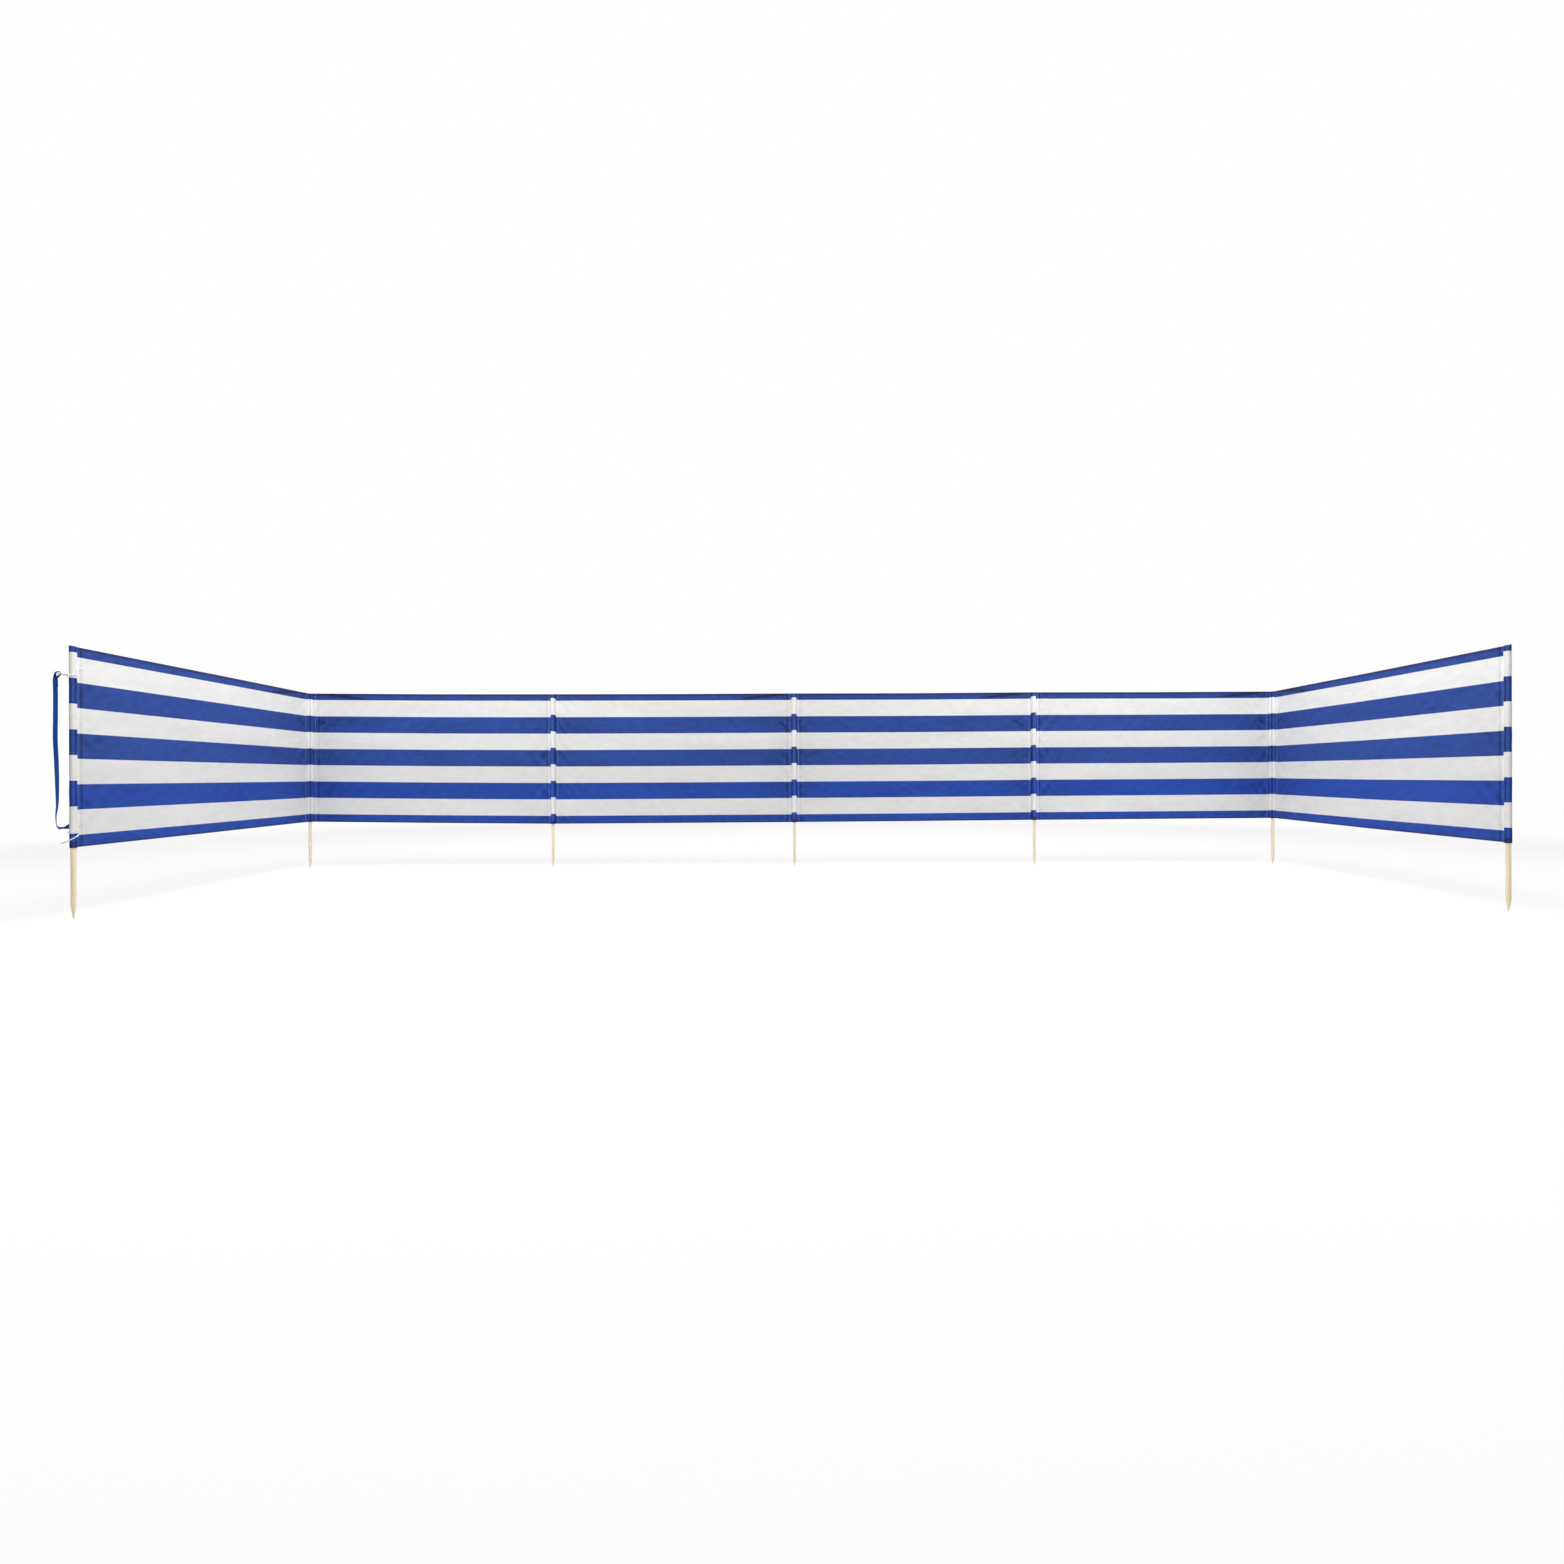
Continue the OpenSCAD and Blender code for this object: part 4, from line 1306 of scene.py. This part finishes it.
def braid_tube(curve, run):
    """Points, faces and flat places of a braided cord along a curve."""
    ahead = directions(curve)
    reference = np.where(np.abs(ahead[:, 2:]) > 0.9, [[1.0, 0, 0]], [[0, 0, 1.0]])
    first = unit(np.cross(ahead, reference))
    second = np.cross(first, ahead)
    angle = np.linspace(0, 2 * math.pi, BRAID_SIDES, endpoint=False)
    radius = CORD_DIAMETER / 2
    slope = BRAID_STRANDS / radius
    one_way = np.cos(BRAID_STRANDS * angle[None] + slope * run[:, None])
    other_way = np.cos(BRAID_STRANDS * angle[None] - slope * run[:, None])
    reach = radius * (BRAID_CORE + BRAID_RELIEF * np.maximum(one_way, other_way))
    rounded = np.clip(np.minimum(run, run[-1] - run) / radius, 0.04, 1)
    reach *= np.sqrt(rounded * (2 - rounded))[:, None]
    ring = np.cos(angle)[None, :, None] * first[:, None] + np.sin(angle)[None, :, None] * second[:, None]
    points = (curve[:, None] + reach[..., None] * ring).reshape(-1, 3)
    faces = capped_faces(len(curve), BRAID_SIDES)
    share = angle / (2 * math.pi)
    places = np.stack(np.broadcast_arrays(run[:, None], share[None, :]), axis=-1).reshape(-1, 2)
    return points, faces, places


def knot_piece(name, place, facing):
    """Overhand knot pulled tight, at a place on the left wing's plan."""
    turn = np.linspace(0.25, 2 * math.pi - 0.25, 160)
    x = KNOT_SIZE * (np.sin(turn) + 2 * np.sin(2 * turn))
    y = KNOT_SIZE * (np.cos(turn) - 2 * np.cos(2 * turn))
    z = -1.15 * KNOT_SIZE * np.sin(3 * turn)
    facing = unit(np.array(facing, float))
    level = unit(np.cross([0, 0, 1.0], facing))
    rise = np.cross(facing, level)
    curve = np.array(place) + x[:, None] * level + y[:, None] * rise + z[:, None] * facing
    points, faces, places = braid_tube(curve, run_along(curve))
    return new_piece(name, to_world(0, points), faces, BRAID, "tie_cord", corner_places(faces, places))


def make_tie(name, node, route, hole):
    """White braided tie cord with a knot on it, through a tie hole in the cloth."""
    curve, _, run = curve_through(placed(route, hole), BRAID_STEP)
    points, faces, places = braid_tube(curve, run)
    piece = new_piece(name, to_world(0, points), faces, BRAID, "tie_cord", corner_places(faces, places))
    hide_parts(node)


def make_ties():
    """Both tie cords of the left end, with their knots."""
    upper_knot = knot_piece("upper_tie_knot", placed((-20, 1.0, -1.5), UPPER_HOLE), (-0.3, -1, 0.1))
    lower_knot = knot_piece("lower_tie_knot", placed((11.5, -7.0, 3.5), LOWER_HOLE), (0.7, -1, 0.1))
    make_tie("upper_tie_braid", "upper_tie_cord", UPPER_TIE_ROUTE, UPPER_HOLE)
    make_tie("lower_tie_braid", "lower_tie_cord", LOWER_TIE_ROUTE, LOWER_HOLE)


def make_stakes():
    """Wood on the stakes of the frame."""
    for name in STAKES:
        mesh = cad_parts[name].data
        mesh.materials.clear()
        mesh.materials.append(WOOD)


# Stage

CAMERA_PLACE = (-0.1039, -3.8899, 0.5076)
# Degrees that the camera looks to the side and leans
CAMERA_YAW, CAMERA_ROLL = -0.481, -0.177
PHOTO_SIDE = 1564
FOCAL_PIXELS = 668.8
LENS_SHIFT = -3.459
SENSOR = 36.0


def make_camera():
    """Camera that stands where the photograph was taken."""
    data = bpy.data.cameras.new("camera")
    data.sensor_width = SENSOR
    data.lens = FOCAL_PIXELS / PHOTO_SIDE * SENSOR
    data.shift_y = LENS_SHIFT / PHOTO_SIDE
    camera = bpy.data.objects.new("camera", data)
    bpy.context.scene.collection.objects.link(camera)
    turn = (Matrix.Rotation(math.radians(CAMERA_YAW), 4, "Z")
            @ Matrix.Rotation(math.radians(90), 4, "X")
            @ Matrix.Rotation(math.radians(CAMERA_ROLL), 4, "Z"))
    camera.matrix_world = Matrix.Translation(CAMERA_PLACE) @ turn
    bpy.context.scene.camera = camera


def seen_directly(tree):
    """One for rays from the camera, a mirror or glass, and zero for light on the object."""
    path = tree.nodes.new("ShaderNodeLightPath").outputs
    mirror = arithmetic(tree, "MAXIMUM", path["Is Glossy Ray"], path["Is Transmission Ray"])
    return arithmetic(tree, "MAXIMUM", path["Is Camera Ray"], mirror)


FLOOR_GLOW = 0.76
FLOOR_DIFFUSE = (0.25, 0.25, 0.25, 1)
FLOOR_SPREAD = (4.2, 3.0, 1.0)
FLOOR_REACH = 40.0
FLOOR_LEVEL = -0.0005


def make_floor():
    """Pale floor that reads white and keeps a soft shadow."""
    sides = ((-1, -1), (1, -1), (1, 1), (-1, 1))
    corners = [(x * FLOOR_REACH, y * FLOOR_REACH, FLOOR_LEVEL) for x, y in sides]
    mesh = bpy.data.meshes.new("floor")
    mesh.from_pydata(corners, [], [(0, 1, 2, 3)])
    floor = bpy.data.objects.new("floor", mesh)
    bpy.context.scene.collection.objects.link(floor)
    material = bpy.data.materials.new("pale_floor")
    material.use_nodes = True
    tree = material.node_tree
    tree.nodes.clear()
    shown = seen_directly(tree)
    place = tree.nodes.new("ShaderNodeTexCoord").outputs["Object"]
    distance = tree.nodes.new("ShaderNodeVectorMath")
    distance.operation = "LENGTH"
    feed(tree, distance.inputs[0], stretched(tree, place, FLOOR_SPREAD))
    beyond = ramp(tree, distance.outputs["Value"], 1.0, 2.0)
    near_colour = blend_colours(tree, beyond, FLOOR_DIFFUSE, (0, 0, 0, 1))
    diffuse = tree.nodes.new("ShaderNodeBsdfDiffuse")
    feed(tree, diffuse.inputs["Color"], blend_colours(tree, shown, FLOOR_WHITE, near_colour))
    glow = tree.nodes.new("ShaderNodeEmission")
    reach_glow = ramp(tree, beyond, 0.0, 1.0, FLOOR_GLOW, 1.0)
    feed(tree, glow.inputs["Strength"], arithmetic(tree, "MULTIPLY", shown, reach_glow))
    both = tree.nodes.new("ShaderNodeAddShader")
    tree.links.new(diffuse.outputs[0], both.inputs[0])
    tree.links.new(glow.outputs[0], both.inputs[1])
    surface = tree.nodes.new("ShaderNodeOutputMaterial")
    tree.links.new(both.outputs[0], surface.inputs["Surface"])
    mesh.materials.append(material)


AMBIENT = 0.20
# Softboxes: name, place, the place each one faces, its two sides and its power
SOFTBOXES = [
    ("overhead_softbox", (0, -1.2, 4.5), (0, -0.6, 0), (9, 5), 296),
    ("left_corner_softbox", (-1.9, -1.0, 2.6), (-2.8, 0, 0.3), (1.4, 1.4), 23),
    ("right_corner_softbox", (1.9, -1.0, 2.6), (2.8, 0, 0.3), (1.4, 1.4), 27),
    ("left_softbox", (-2.0, -3.6, 3.0), (-2.8, -0.3, 0.3), (2, 2), 6),
    ("right_softbox", (2.0, -3.6, 3.0), (2.8, -0.3, 0.3), (2, 2), 1.5),
    ("front_softbox", (0, -7.5, 2.6), (0, -0.3, 0.6), (8, 3), 9.5),
    ("rear_softbox", (1.5, 6.5, 3.4), (0, 0, 0.6), (7, 4), 66),
]


def make_world():
    """White surroundings to the eye, with an even, softer light on the object."""
    world = bpy.data.worlds.new("studio")
    world.use_nodes = True
    tree = world.node_tree
    back = tree.nodes["Background"]
    feed(tree, back.inputs["Strength"], ramp(tree, seen_directly(tree), 0.0, 1.0, AMBIENT, 1.0))
    back.inputs["Color"].default_value = (1, 1, 1, 1)
    bpy.context.scene.world = world


def make_light(name, place, target, size, power):
    """Softbox that faces a target."""
    data = bpy.data.lights.new(name, "AREA")
    data.shape = "RECTANGLE"
    data.size, data.size_y = size
    data.energy = power
    light = bpy.data.objects.new(name, data)
    bpy.context.scene.collection.objects.link(light)
    light.location = place
    light.rotation_euler = (Vector(target) - Vector(place)).to_track_quat("-Z", "Y").to_euler()


def make_stage():
    """Floor, surroundings, softboxes and camera."""
    make_floor()
    make_world()
    for softbox in SOFTBOXES:
        make_light(*softbox)
    make_camera()
    bpy.context.scene.view_settings.view_transform = "Standard"


make_stage()
make_ties()
make_strap()
make_panels()
make_sleeves()
make_stakes()
